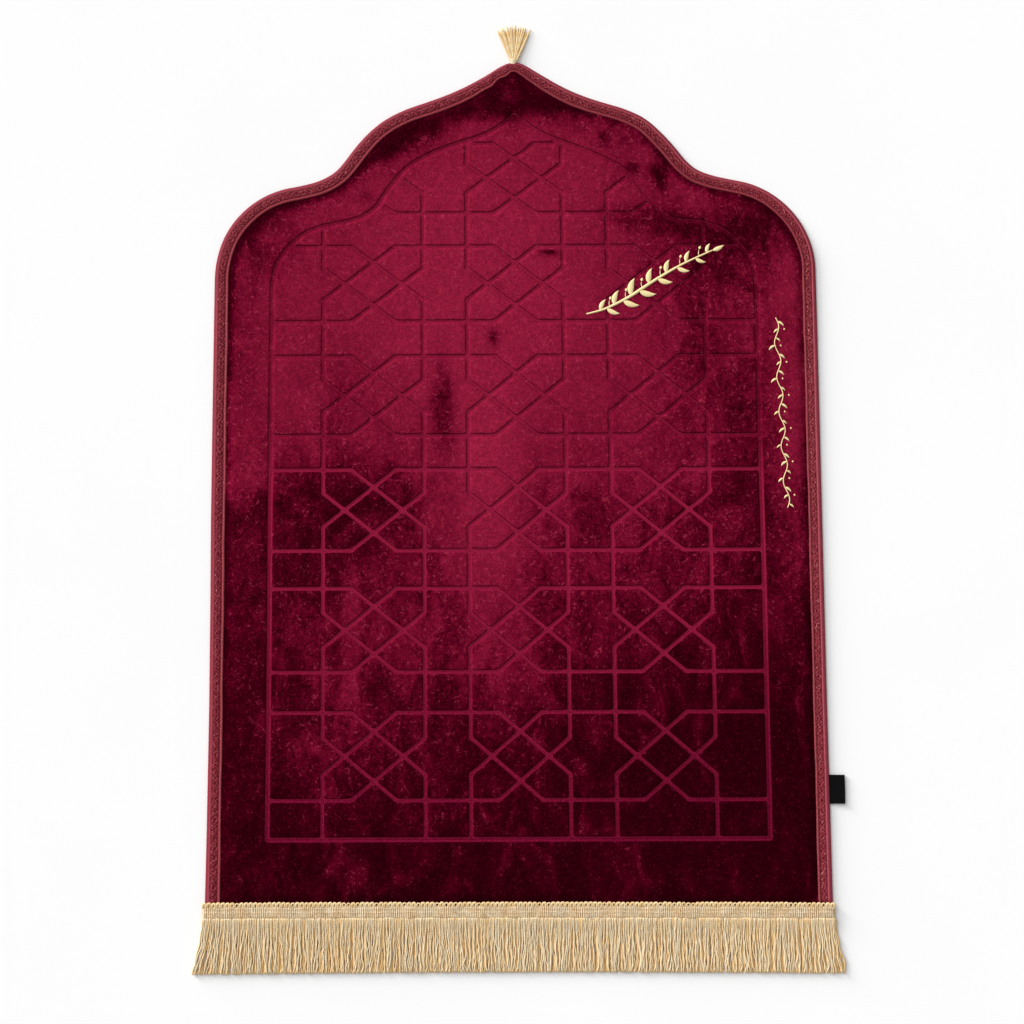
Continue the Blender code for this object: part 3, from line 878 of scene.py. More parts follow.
def lay_of(x, up):
    """How the pile lies, from 0 dark to 1 light: a rise up the rug plus the patches.

    A patch adds amount * exp(-q^sharp), where q is the distance from its centre in half sizes.
    """
    lay = np.interp(up, LAY_UP, LAY_BASE)
    for cx, cy, half_x, half_y, turn, amount, sharp in PATCHES:
        c, s = math.cos(math.radians(turn)), math.sin(math.radians(turn))
        dx, dy = x - cx * MM, up - cy * MM
        q = np.hypot((dx * c + dy * s) / (half_x * MM), (dy * c - dx * s) / (half_y * MM))
        lay = lay + amount * np.exp(-(q**sharp))
    return lay


def shaded_rims(lay, up, x, free, hem_free):
    """The lay, less in the shade of the tape and of the heading, d being the distance from them.

    The tape's shade falls off as exp(-(d / reach)^2) and the heading's as exp(-d / 9 mm). The tape's
    is deeper and broader round the arch, and deeper on the left.
    """
    arched = np.interp(up, [0.60, 0.86], [0.0, 1.0])
    beside = np.where(x < 0.1, 0.34, 0.20) + 0.20 * arched
    beside = beside * np.exp(-((np.maximum(free, 0) / ((5.5 + 4.0 * arched) * MM)) ** 2))
    return lay - beside - 0.14 * np.exp(-np.maximum(hem_free, 0) / (9 * MM))


def swell(share):
    """A rounded rise from 0 at the rim to 1 on the flat."""
    return 1 - (1 - np.clip(share, 0, 1)) ** 2.2


def wave(x, up, at, inside):
    """Slack in the cloth: slow swells over the field and short puckers beside the binding.

    The puckers run with the length along the edge, and die off as exp(-((inside - 24 mm) / 16 mm)^2).
    """
    field = (
        0.22 * np.sin(x * 31 + up * 11 + 0.6) * np.sin(up * 23 - x * 7)
        + 0.14 * np.sin(x * 67 - up * 19 + 2.0) * np.sin(up * 47 + x * 29 + 0.5)
    )
    pucker = 0.40 * np.sin(at * 2 * math.pi / 0.058 + 1.3 * np.sin(at * 17))
    return (field + pucker * bell(inside, 24 * MM, 16 * MM)) * MM


def along_edge(inset, step):
    """The outline drawn in by an inset, at even steps."""
    return spaced(EDGE + EDGE_IN * np.broadcast_to(inset, len(EDGE))[:, None], step)[0]


def level_row(x, up):
    """Points at every x and one height above the hem."""
    return np.stack([x, np.full(len(x), up)], 1)


def triangulated(border, loose, least):
    """Triangles between the points inside a closed border: places, triangles, each place's source."""
    count = len(border)
    plan = [Vector(spot) for spot in np.vstack([border, loose]).tolist()]
    ring = [(k, (k + 1) % count) for k in range(count)]
    places, _, triangles, sources = delaunay_2d_cdt(plan, ring, [], 1, least)[:4]
    source = np.array([one[0] if one else -1 for one in sources])
    return np.array([tuple(spot) for spot in places]), np.array(triangles), source


def border_of(triangles, count):
    """The numbers of the points round a triangulated patch, in order."""
    edges = np.vstack([triangles[:, (0, 1)], triangles[:, (1, 2)], triangles[:, (2, 0)]])
    key = edges[:, 0] * count + edges[:, 1]
    twin = edges[:, 1] * count + edges[:, 0]
    open_edges = edges[~np.isin(key, twin)]
    after = dict(open_edges.tolist())
    ring = [int(open_edges[0, 0])]
    while after[ring[-1]] != ring[0]:
        ring.append(after[ring[-1]])
    return np.array(ring)


# Rails of points: beside a pressed line, and in mm in from the tape, up from the hem and in from the
# outline. Then their steps, and those of the points at a crossing and of the scatter in the open.
LINE_RAILS = np.array([-4.4, -3.0, -2.5, -2.0, 0.0, 2.0, 2.5, 3.0, 4.4]) * MM
TAPE_RAILS = (-1.0, 1.0, 3.5, 7.0, 11.0, 15.0)
HEM_RAILS = (-8.0, 0.3, 2.0, 4.5, 8.0, 12.0)
BORDER_RAILS = (37.0, 43.0)
LINE_STEP, FRAME_STEP, RIM_STEP = 5.0 * MM, 4.4 * MM, 3.5 * MM
TAPE_STEP, BORDER_STEP = 4.5 * MM, 5.5 * MM
CROSSING_REACH, CROSSING_STEP = 7.0 * MM, 1.25 * MM
SCATTER_ACROSS, SCATTER_UP = 6.2 * MM, 5.4 * MM
OPEN_FROM = 15 * MM
LEAST_APART = 0.12 * MM
# The back's rails, in mm from the outline, the step of its coarse grid, and where it falls to BACK_LOW.
BACK_RAILS, BACK_STEP = (20.5, 23.0), 0.022
BACK_FALL = [19 * MM, 22 * MM]


def face_plan(lines, arch, foot, p, q):
    """The face's places in plan and its triangles.

    Rails run beside every pressed line, the tape and the hem, a fine grid fills each crossing, and
    a scatter, moved a little at random, fills the rest.
    """
    rng = np.random.default_rng(11)
    broad = LINE_RAILS + FRAME_BROADER * np.sign(LINE_RAILS)
    pressed = [(line, LINE_RAILS, LINE_STEP) for line in lines]
    near, own = [], []
    for line, offsets, step in pressed + [(arch, broad, FRAME_STEP), (foot, broad, FRAME_STEP)]:
        near.append(rails(line, offsets, step))
        own.append(np.repeat(np.abs(offsets), len(near[-1]) // len(offsets)))
    near, own = np.vstack(near), np.concatenate(own)
    crossings = crossing_points(lines, np.vstack([arch, foot[1:]]))
    clear = least_gap(near, p, q) > own - 0.05 * MM
    near = near[clear & (point_gap(near, crossings) > CROSSING_REACH)]
    zone = (crossings[:, None] + hexagon(CROSSING_REACH, CROSSING_STEP)[None]).reshape(-1, 2)
    zone = zone[least_gap(zone, p, q) < SHOULDER + 0.3 * MM]

    width = binding_width(EDGE_AT)
    rim = along_edge(width - TUCK, RIM_STEP)
    left, right = rim[0, 0], rim[-1, 0]
    border = np.vstack([rim, level_row(np.linspace(right, left, 160), -HEM_TUCK)])
    hem_x = np.linspace(left + 4 * MM, right - 4 * MM, 170)
    by_hem = np.vstack([level_row(hem_x, k * MM) for k in HEM_RAILS])
    by_tape = np.vstack([along_edge(width + k * MM, TAPE_STEP) for k in TAPE_RAILS])
    by_border = np.vstack([along_edge(k * MM, BORDER_STEP) for k in BORDER_RAILS])
    by_tape = np.vstack([by_tape, by_border[by_border[:, 1] > OPEN_FROM]])
    by_tape = by_tape[by_tape[:, 1] > 2 * MM - HEM_TUCK]
    by_tape = by_tape[least_gap(by_tape, p, q) > SHOULDER + 1.0 * MM]

    spread = np.meshgrid(np.arange(-0.400, 0.400, SCATTER_ACROSS), np.arange(0.004, 1.12, SCATTER_UP))
    spread = np.stack(spread, -1)
    spread[1::2, :, 0] += SCATTER_ACROSS / 2
    spread = spread.reshape(-1, 2) + rng.uniform(-0.5, 0.5, (spread.size // 2, 2)) * MM
    inside, _ = edge_distance(spread)
    spread = spread[(inside > BORDER_RAILS[0] * MM) & (spread[:, 1] > OPEN_FROM)]
    spread = spread[least_gap(spread, p, q) > SHOULDER + 1.5 * MM]
    return triangulated(border, np.vstack([near, zone, by_tape, by_hem, spread]), LEAST_APART)[:2]


def backing(rim):
    """The flat back inside the rim: its points, its triangles, and the number of each rim point's own.

    It stands BACK_RIM off the floor at the rim and the hem, and BACK_LOW inside the folded tape.
    """
    under = [along_edge(k * MM, 8.0 * MM) for k in BACK_RAILS]
    under = [row[row[:, 1] > 6 * MM] for row in under]
    coarse = np.meshgrid(np.arange(-0.36, 0.365, BACK_STEP), np.arange(0.012, 1.09, BACK_STEP))
    coarse = np.stack(coarse, -1).reshape(-1, 2)
    coarse = coarse[edge_distance(coarse)[0] > 32 * MM]
    plan, triangles, source = triangulated(rim, np.vstack([*under, coarse]), 0.01 * MM)
    inside, _ = edge_distance(plan)
    height = np.interp(inside, BACK_FALL, [BACK_RIM, BACK_LOW])
    height = np.where(plan[:, 1] < 4 * MM, BACK_RIM, height)
    twin = np.empty(len(rim), np.int64)
    order = np.where(source < len(rim))[0]
    twin[source[order]] = order
    return np.column_stack([plan[:, 0], plan[:, 1] - MIDDLE, height]), triangles, twin


def velvet_panel():
    """The velvet's face as a height over the plan, closed by a rim and a flat backing.

    Each point's height is VELVET_RIM + (VELVET_TOP - VELVET_RIM) * swell - groove + wave, where the
    groove eases from GROOVE_DEPTH at GROOVE_FLOOR off the line's middle to nothing at GROOVE_HALF,
    with a soft shoulder out to SHOULDER. The frame's band is FRAME_BROADER wider on each side.
    """
    arch, foot = frame_line()
    lines = clipped(lattice(), arch)
    arch, foot = spaced(arch, 3.5 * MM)[0], spaced(foot, 3.5 * MM)[0]
    frame_all = np.vstack([arch, foot[1:]])
    p = np.vstack([[line[0] for line in lines], frame_all[:-1]])
    q = np.vstack([[line[1] for line in lines], frame_all[1:]])
    top, triangles = face_plan(lines, arch, foot, p, q)

    owner = np.minimum(np.arange(len(p)), len(lines))
    gap, nearest = filleted_gap(top, p, q, owner)
    lit = shaded_side(top, p[nearest], q[nearest])
    inside, at = edge_distance(top)
    free = inside - binding_width(at)
    hem_free = top[:, 1] - HEM_FREE
    raised = swell(free / SWELL) * swell(hem_free / SWELL)
    groove = 1 - np.clip((gap - GROOVE_FLOOR) / (GROOVE_HALF - GROOVE_FLOOR), 0, 1)
    groove = groove * groove * (3 - 2 * groove)
    shoulder = SHOULDER_DROP * (1 - np.clip((gap - GROOVE_HALF) / (SHOULDER - GROOVE_HALF), 0, 1)) ** 2
    height = VELVET_RIM + (VELVET_TOP - VELVET_RIM) * raised - GROOVE_DEPTH * groove - shoulder
    height = height + wave(top[:, 0], top[:, 1], at, inside) * raised
    height = height - TUCK_DROP * np.clip(-np.minimum(free, hem_free) / TUCK, 0, 1)
    # The lay also carries painted shade beside the tape and the heading.
    lay = shaded_rims(lay_of(top[:, 0], top[:, 1]), top[:, 1], top[:, 0], free, hem_free)

    ring = border_of(triangles, len(top))
    below, back, twin = backing(top[ring])
    above = np.column_stack([top[:, 0], top[:, 1] - MIDDLE, height])
    onward, twin = np.roll(np.arange(len(ring)), -1), twin + len(above)
    wall = np.column_stack([ring, twin, twin[onward], ring[onward]])
    pad = np.zeros(len(below))
    return piece(
        "velvet", np.vstack([above, below]), [np.vstack([triangles, back[:, ::-1] + len(above)]), wall],
        [VELVET, BACKING], "velvet_panel",
        values={
            "lay": np.concatenate([lay, pad]), "lit": np.concatenate([lit, pad]),
            "gap": np.concatenate([np.minimum(gap / MM, FARTHEST), pad + FARTHEST]),
        },
        which=[np.concatenate([np.zeros(len(triangles)), np.ones(len(back))]), np.ones(len(wall))],
    )


def least_gap(points, p, q):
    """Each point's distance to the nearest of the segments."""
    return chunked(lambda part: segment_gap(part, p, q).min(1), points)


def point_gap(points, others):
    """Each point's distance to the nearest of the others."""
    return chunked(lambda part: np.sqrt(((part[:, None] - others[None]) ** 2).sum(2).min(1)), points)


def filleted_gap(points, p, q, owner):
    """Each point's distance to the nearest line, less where two lines meet, and the nearest segment.

    The frame, the last owner, counts as FRAME_BROADER nearer than it is.
    With the two lines' distances a < b and e = max(0, FILLET - (b - a)) the value is
    a - e^2 / (4 FILLET) * u, where u falls to 0 as the two nearest spots become one.
    """
    def measured(part):
        row = np.arange(len(part))
        gap = segment_gap(part, p, q) - FRAME_BROADER * (owner == owner.max())
        one = gap.argmin(1)
        a = gap[row, one]
        gap[owner[None] == owner[one][:, None]] = 1.0
        two = gap.argmin(1)
        feet = [nearest_spot(part, p[k], q[k]) for k in (one, two)]
        apart = np.clip(np.hypot(*(feet[0] - feet[1]).T) / SPOTS_APART, 0, 1)
        ease = np.maximum(0, FILLET - (gap[row, two] - a))
        return np.column_stack([a - ease**2 / (4 * FILLET) * apart, one])

    found, nearest = chunked(measured, points).T
    return found, nearest.astype(int)


def nearest_spot(points, p, q):
    """The spot nearest to each point on its own segment."""
    run = q - p
    share = ((points - p) * run).sum(1) / np.maximum((run**2).sum(1), 1e-12)
    return p + np.clip(share, 0, 1)[:, None] * run


def shaded_side(points, p, q):
    """How far a point lies on the shaded wall's side of its segment: 1 straight up the rug, -1 down."""
    away = points - nearest_spot(points, p, q)
    away /= np.maximum(np.hypot(*away.T), 1e-9)[:, None]
    return away @ SHADED_TOWARDS


def hexagon(reach, step):
    """Points of a hexagonal grid within a reach of the middle."""
    n = int(reach / step) + 2
    i, j = np.meshgrid(np.arange(-n, n + 1), np.arange(-n, n + 1))
    dots = np.stack([(i + 0.5 * (j % 2)) * step, j * step * 0.866], -1).reshape(-1, 2)
    return dots[np.hypot(*dots.T) < reach]


# A line's end this near the frame lies on it, and crossings nearer to each other than this are one.
ENDS_ON_FRAME, SAME_CROSSING = 4.0 * MM, 1.0 * MM


def crossing_points(lines, frame_all):
    """Where two pressed lines cross or one ends on another."""
    p = np.array([line[0] for line in lines])
    q = np.array([line[1] for line in lines])
    run = q - p
    cross = run[:, None, 0] * run[None, :, 1] - run[:, None, 1] * run[None, :, 0]
    gap = p[None] - p[:, None]
    safe = np.where(np.abs(cross) < 1e-12, 1.0, cross)
    s = (gap[..., 0] * run[None, :, 1] - gap[..., 1] * run[None, :, 0]) / safe
    t = (gap[..., 0] * run[:, None, 1] - gap[..., 1] * run[:, None, 0]) / safe
    hit = (np.abs(cross) > 1e-12) & (s > -0.001) & (s < 1.001) & (t > -0.001) & (t < 1.001)
    i, j = np.where(np.triu(hit, 1))
    found = [p[i] + s[i, j, None] * run[i]]
    ends = np.vstack([p, q])
    near = least_gap(ends, frame_all[:-1], frame_all[1:]) < ENDS_ON_FRAME
    found.append(ends[near])
    found = np.vstack(found)
    order = np.lexsort((np.round(found[:, 0], 4), np.round(found[:, 1], 4)))
    found = found[order]
    gap = np.hypot(*(found[:, None] - found[None]).T)
    first = ~(np.tril(gap < SAME_CROSSING, -1).any(1))
    return found[first]


# ---------------------------------------------------------------- binding

BRAID_FROM, BRAID_TO = 0.240, 0.806
BRAID_PITCH = 9.4 * MM
# The section's places as shares of the width and heights in mm: the rolled edge, the inner selvedge
# and the side underneath. The braid lies between the first two.
ROLL = [
    (0.0, 1.6), (0.0, 2.4), (0.022, 3.4), (0.060, 4.4), (0.11, 5.1), (0.155, 5.4), (0.20, 5.2),
    (0.230, 4.75),
]
RIDGE = [(0.818, 4.85), (0.838, 5.3), (0.870, 5.75), (0.906, 5.9), (0.945, 5.75), (0.98, 5.3), (1.0, 4.9)]
LINING = [
    (0.985, 4.6), (0.14, 4.4), (0.10, 3.0), (0.14, 1.5), (0.98, 1.5), (1.0, 0.9), (0.98, 0.3), (0.06, 0.3),
]
# How far the rolled edge's crest leans in, in shares of the width: little on the left, most on the right.
LEAN_KNOTS = ([0.0, TIP_AT + 0.30, TIP_AT + 0.70], [0.085, 0.060, 0.155])
# Below the hem the tape is flattened under the heading: its height there and above, as shares.
FLATTENED = ([-5.0 * MM, -0.6 * MM, 2.6 * MM], [0.70, 0.74, 1.0])


def edge_binding():
    """One tape folded over the edge: a closed section carried along the outline.

    At length s and share v of the width the point is edge(s) + (inset + v' (width - inset)) inward(s),
    at the section's height, where v' = v + lean (1 - v)^1.5 draws the rolled edge's top in. In the
    braid two cords cross: t - 0.5 -+ 0.29 sin(phase) is the distance d to each, and the relief is
    exp(-(d / 0.12)^2), the nearer one's, or a thin rope's at either side. The tape is palest under a
    painted light on bell curves exp(-(d / half)^2) about the rolled edge's top and the inner
    selvedge's, a little on the right's outer face, and less round the arch.
    """
    inset = np.interp(EDGE_AT, *np.array(INSET_KNOTS).T) * MM
    width = binding_width(EDGE_AT) - inset
    braid = np.linspace(BRAID_FROM + 0.012, BRAID_TO - 0.012, 13)
    dome = 4.7 + 0.35 * np.sin(math.pi * (braid - BRAID_FROM) / (BRAID_TO - BRAID_FROM))
    section = np.vstack([ROLL, np.stack([braid, dome], 1), RIDGE, LINING])
    share, tall = section[:, 0], section[:, 1]
    lean_in = np.interp(EDGE_AT, *LEAN_KNOTS)[:, None] * (1 - share) ** 1.5 * np.clip(share / 0.12, 0, 1)
    lean_in = lean_in * np.clip((tall - 2.4) / 1.0, 0, 1)
    top = np.arange(len(section)) < len(section) - len(LINING)
    in_braid = (share > BRAID_FROM) & (share < BRAID_TO) & top
    t = (share - BRAID_FROM) / (BRAID_TO - BRAID_FROM)
    right = np.interp(EDGE_AT, [TIP_AT + 0.30, TIP_AT + 0.70], [0, 1])[:, None]
    drift = slack_line(EDGE_AT, 31, (0.043, 0.0171, 0.0093), (1.4 * MM, 0.9 * MM, 0.7 * MM))
    phase = ((EDGE_AT + drift) * 2 * math.pi / BRAID_PITCH)[:, None]
    lean = slack_line(EDGE_AT, 32, (0.0123, 0.0077), (0.05, 0.04))[:, None]
    sway = 0.29 * np.sin(phase)
    one = bell(t, 0.5 + lean + sway, 0.12) * (0.80 + 0.20 * np.cos(2 * phase))
    two = bell(t, 0.5 + lean - sway, 0.12) * (0.80 - 0.20 * np.cos(2 * phase))
    rope = bell(np.abs(t - 0.5), 0.47, 0.07) * (0.45 + 0.45 * np.cos(2 * phase + 6 * lean))
    relief = np.maximum(np.maximum(one, two), rope) * in_braid
    # The braid's tone falls towards its inner side, less on the right, where it is paler throughout.
    toned = relief + (0.16 * right - 0.26 * np.clip(t, 0, 1) * (1 - 0.6 * right)) * in_braid
    beat = np.clip(np.cos((EDGE_AT + 0.5 * drift) * 2 * math.pi / (3.8 * MM)), 0, 1)[:, None]
    scallop = bell(share, 0.862, 0.054) * beat * top
    lip = bell(share, 0.955, 0.05) * top
    calm = np.interp(EDGE[:, 1], [0.80, 0.88], [1.0, 0.45])[:, None]
    # Painted light on the tops of the rolled edge and the inner selvedge, less round the arch, and a little
    # on the right's outer face.
    rolled = bell(share, 0.182 - 0.024 * right, 0.054 + 0.040 * right) * (0.65 + 0.35 * calm)
    crest = np.maximum(rolled, 0.36 * right * (share < 0.16))
    crest = np.maximum(crest, 0.55 * calm * bell(share, 0.910, 0.046)) * top
    squash = np.interp(EDGE[:, 1], *FLATTENED)[:, None]
    height = (tall + 0.62 * relief + 0.22 * scallop) * squash * MM
    reach = inset[:, None] + (share + lean_in) * width[:, None]
    plan = EDGE[:, None] + reach[..., None] * EDGE_IN[:, None]
    points = np.concatenate([plan, height[..., None]], 2)
    points[..., 1] -= MIDDLE
    return swept("binding", points, TAPE, "edge_binding", {
        "relief": toned, "braid": np.tile(in_braid, len(EDGE)), "crest": crest,
        "gilt": np.maximum(0.9 * scallop, 0.45 * lip) * calm,
    })


def slack_line(x, seed, lengths, sizes):
    """A slow, uneven wave: the sum of size * sin(2 pi x / length + turn) over several lengths."""
    turns = np.random.default_rng(seed).uniform(0, 2 * math.pi, len(lengths))
    waves = zip(lengths, sizes, turns)
    return sum(size * np.sin(x * 2 * math.pi / length + turn) for length, size, turn in waves)


# ---------------------------------------------------------------- fringe

HEADING_LEFT, HEADING_RIGHT = -0.4013, 0.4031
HEADING_TOP, HEADING_FOOT = -4.1 * MM, -20.8 * MM
RAISED_WEFTS = (-8.2, -13.2)
PICOT_PITCH = 5.9 * MM
FRINGE_END = -87.5 * MM


def hem_lift(x):
    """How far the fringe's line stands above the hem: 1.8 - 1.15 s - 0.85 s^2 mm, s = x / 0.4 m."""
    s = x / 0.4
    return (1.8 - 1.15 * s - 0.85 * s**2) * MM


def heading():
    """The woven heading: a flat section with two raised weft cords, carried from end to end.

    Its height is 5.9 mm + the cords, each 0.35 mm exp(-((up - line) / 0.6 mm)^2), + ribs, each
    0.30 mm |sin(pi x / RIB_PITCH)|, with a soft pucker, and it rolls down over the rug's sides.
    """
    x = np.linspace(HEADING_LEFT, HEADING_RIGHT, 1300)
    across = np.linspace(0, 1, 22)
    top = HEADING_TOP + slack_line(x, 3, (0.011, 0.037, 0.083), (0.25 * MM, 0.3 * MM, 0.2 * MM))
    foot = HEADING_FOOT + slack_line(x, 4, (0.015, 0.051, 0.12), (0.25 * MM, 0.3 * MM, 0.3 * MM))
    near_end = np.minimum(x - HEADING_LEFT, HEADING_RIGHT - x)
    top = top - 1.2 * MM * np.exp(-near_end / (6 * MM))
    lift = hem_lift(x)
    up = top[:, None] + (foot - top)[:, None] * across
    tall = 5.9 * MM + slack_line(x, 6, (0.019, 0.045), (0.12 * MM, 0.16 * MM))[:, None] + 0 * up
    for line in RAISED_WEFTS:
        wander = line * MM + slack_line(x, int(-line), (0.03, 0.09), (0.35 * MM, 0.35 * MM))[:, None]
        tall += 0.35 * MM * bell(up, wander, 0.6 * MM)
    rib = np.abs(np.sin(x * math.pi / RIB_PITCH + slack_line(x, 8, (0.02, 0.07), (0.8, 1.2))))
    tall += 0.30 * MM * rib[:, None] * np.sin(math.pi * across) ** 0.5
    tall -= 0.8 * MM * (np.abs(2 * across - 1) ** 6)
    fall = np.clip(1 - near_end / (3.0 * MM), 0, 1) ** 2
    tall -= 2.6 * MM * fall[:, None]
    under_z = np.full((len(x), 3), 4.75 * MM) - 3.0 * MM * fall[:, None]
    under_up = np.stack([foot, (foot + top) / 2, top], 1)
    up, tall = np.hstack([up, under_up]) + lift[:, None], np.hstack([tall, under_z])
    points = np.stack([np.repeat(x[:, None], up.shape[1], 1), up - MIDDLE, tall], -1)
    return swept("fringe_heading", points, HEADING_CLOTH, "fringe")


def picots():
    """A row of touching arches along the heading's top, with a small hole under about a fifth of them.

    The arch at turn angle a is centre + (w sin a, 1.8 mm cos a) over its top half, with w from 1.9 to
    2.3 mm and a slight lean, and its legs run on down into the heading. A thicker cord closes the
    other holes.
    """
    rng = np.random.default_rng(21)
    loops = int((HEADING_RIGHT - HEADING_LEFT) / PICOT_PITCH)
    x = np.linspace(HEADING_LEFT + 2.9 * MM, HEADING_RIGHT - 2.9 * MM, loops)
    near_end = np.minimum(x - HEADING_LEFT, HEADING_RIGHT - x)
    up = -3.2 * MM - 0.6 * MM * np.exp(-near_end / (6 * MM)) + rng.normal(0, 0.16, loops) * MM + hem_lift(x)
    turn = np.linspace(-2.9, 2.9, 19)[None]
    wide = rng.uniform(1.9, 2.3, loops)[:, None] * MM
    bent = np.clip(turn, -math.pi / 2, math.pi / 2)
    past = np.abs(turn - bent)
    lean = rng.uniform(-0.25, 0.25, loops)[:, None] * MM
    arch_x = x[:, None] + wide * np.sin(bent) + lean * np.cos(turn)
    arch_up = up[:, None] + 1.8 * MM * np.cos(bent) - 2.4 * MM * past
    arch_z = 6.0 * MM - 0.55 * MM * past + 0 * x[:, None]
    opened = (rng.uniform(0, 1, loops) < 0.22)[:, None]
    opened[[0, -1]] = False
    radii = np.where(opened, 1.08, 1.72) * MM * np.ones_like(arch_x)
    paths = np.stack([arch_x, arch_up - MIDDLE, arch_z], -1)
    shade = np.clip(rng.normal(0.6, 0.25, loops), 0, 1)
    rise = np.full_like(radii, 0.75 * MM)
    return cords("fringe_picots", paths, radii, 6, GILT_YARN, None, rise=rise, shade=shade)


# A layer of strands: count, then in mm the height at rest, half width, half thickness, height's spread
# and how much longer than FRINGE_END it hangs, and the middle tone, lower in the lower layers as
# painted shade between the strands above.
LAYERS = [(310, 1.35, 1.80, 1.15, 0.05, -0.2, 0.10), (330, 2.45, 1.10, 0.95, 0.30, -0.1, 0.40),
          (385, 3.35, 0.92, 0.85, 0.40, 0.0, 0.75)]


def strands(name, rows, seed, yarn):
    """The fringe's cords, layer over layer, gathered in loose clumps and crossing each other.

    A cord's side step is start + flare + clump * t^1.3 + waves, its height eases from the heading to
    its layer's, and its end lies near FRINGE_END + 0.6 s - 1.4 s^2 mm, where s = x / 0.4 m.
    """
    rng = np.random.default_rng(seed)
    stations = 26
    t = np.linspace(0, 1, stations)[None]
    sets = []

    def any_of(low, high):
        """A random number for each cord of the layer in hand."""
        return rng.uniform(low, high, count)[:, None]

    for count, lift, radius, thick, spread, longer, tone in rows:
        x = np.linspace(HEADING_LEFT + 1.4 * MM, HEADING_RIGHT - 1.4 * MM, count)
        x = x + rng.uniform(-0.8, 0.8, count) * MM
        knots = np.cumsum(rng.uniform(4.0, 11.0, 160)) * MM + HEADING_LEFT
        middle = knots[np.abs(x[:, None] - knots[None]).argmin(1)]
        pull = ((middle - x) * rng.uniform(0.0, 0.5, count))[:, None]
        flare = (np.sign(x) * (np.abs(x) / 0.402) ** 14 * np.where(x > 0, 9.5, 15.5))[:, None] * MM
        shared = (np.sin(middle * 900) * math.pi)[:, None]
        sway = any_of(0.3, 1.7) * np.sin(t * any_of(2.5, 7.0) + shared)
        sway += any_of(0.35, 1.35) * np.sin(t * any_of(9, 20) + any_of(0, 6.3))
        sway += any_of(0.05, 0.42) * np.sin(t * any_of(26, 46) + any_of(0, 6.3))
        curl = any_of(-2.2, 2.2) * np.clip((t - 0.88) / 0.12, 0, 1) ** 2
        side = x[:, None] + flare * t**1.25 + pull * t**1.3 + (sway * t**0.6 + curl) * MM
        side += rng.normal(0, 2.0, count)[:, None] * t * MM
        end = FRINGE_END + (rng.normal(0, 0.3, count)[:, None] - longer) * MM
        end += (0.6 * x / 0.4 - 1.4 * (x / 0.4) ** 2)[:, None] * MM
        start = any_of(-20.2, -19.0) * MM
        up = start + (end - start) * t + hem_lift(x)[:, None]
        z = lift + spread * np.sin(t * any_of(4, 10) + any_of(0, 6.3)) * t**0.5
        high = 3.5 + 0.36 * lift
        z = z + (high - lift) * np.exp(-((t / 0.17) ** 2)) - 0.2 * lift * np.clip((t - 0.9) / 0.1, 0, 1)
        size = any_of(0.78, 1.15) * (1 + 0.12 * np.sin(t * 38 + any_of(0, 6.3)))
        size = size * (1 + 0.3 * np.exp(-((t / 0.14) ** 2)))
        z = np.maximum(z, thick * size + 0.1)
        sets.append((np.stack([side, up - MIDDLE, z * MM], -1), radius * size * MM, thick * size * MM,
                     np.clip(rng.normal(tone, 0.28, count), 0, 1)))
    paths, radii, rises, tones = (np.concatenate([one[k] for one in sets]) for k in range(4))
    return cords(name, paths, radii, 5, yarn, None, rise=rises, shade=tones)


# ---------------------------------------------------------------- tassel and label

NECK_UP = 1.1172
TASSEL_X = -1.2 * MM


def tassel():
    """A brush of threads that leaves the neck as a bundle and opens into a flat fan of wisps.

    A thread in the wisp at fan share f stands at f (2.6 + 19 t^1.1) mm to the side, plus its place
    in the wisp, which closes to a point at the end. Broad threads lie below, side by side, in a
    deeper gold that is painted shade between the wisps.
    """
    rng = np.random.default_rng(9)
    wisps, each, below, stations = 12, 9, 46, 12
    t = np.linspace(0, 1, stations)[None]
    middle = np.linspace(-1, 1, wisps) + rng.normal(0, 0.03, wisps)
    fan = np.concatenate([np.repeat(middle, each), np.linspace(-0.90, 0.90, below)])
    count = len(fan)
    over = np.arange(count) < wisps * each
    place = rng.uniform(-1, 1, count)[:, None]
    width = np.where(over, 1.45, 0.3)[:, None]
    within = width * place * np.sin(math.pi * np.clip(0.22 + 0.70 * t, 0, 1)) ** 0.9
    sway = np.concatenate([np.repeat(rng.uniform(-0.6, 0.6, wisps), each), np.zeros(below)])
    spread = fan[:, None] * (2.6 + 19.0 * t**1.1) + within + sway[:, None] * np.sin(t * math.pi)
    reach = np.concatenate([np.repeat(rng.uniform(0.95, 1.0, wisps), each), np.full(below, 0.87)])
    length = 53.0 * (1 - 0.085 * fan**2) * reach * rng.uniform(0.96, 1.0, count)
    up = NECK_UP - 1.5 * MM + length[:, None] * t * MM
    level = np.where(over, 0.45, -0.40)[:, None] + 0.30 * rng.uniform(-1, 1, count)[:, None]
    z = np.maximum(3.0 + level * (1.5 - 0.8 * t) - 1.9 * t, 0.6)
    paths = np.stack([TASSEL_X + spread * MM, up - MIDDLE, z * MM], -1)
    radii = np.where(over[:, None], 0.72 * (1 - 0.45 * t**2), 0.60 + 0.60 * t) * MM
    rise = np.where(over[:, None], radii, 0.5 * MM)
    # The threads below get a low tone: painted shade between the wisps.
    tone = np.concatenate([np.repeat(rng.uniform(0.55, 0.95, wisps), each), np.full(below, 0.30)])
    tone = np.clip(tone + rng.normal(0, 0.10, count), 0, 1)
    return cords("tassel_brush", paths, radii, 6, GOLD_YARN, "tassel", rise=rise, shade=tone)


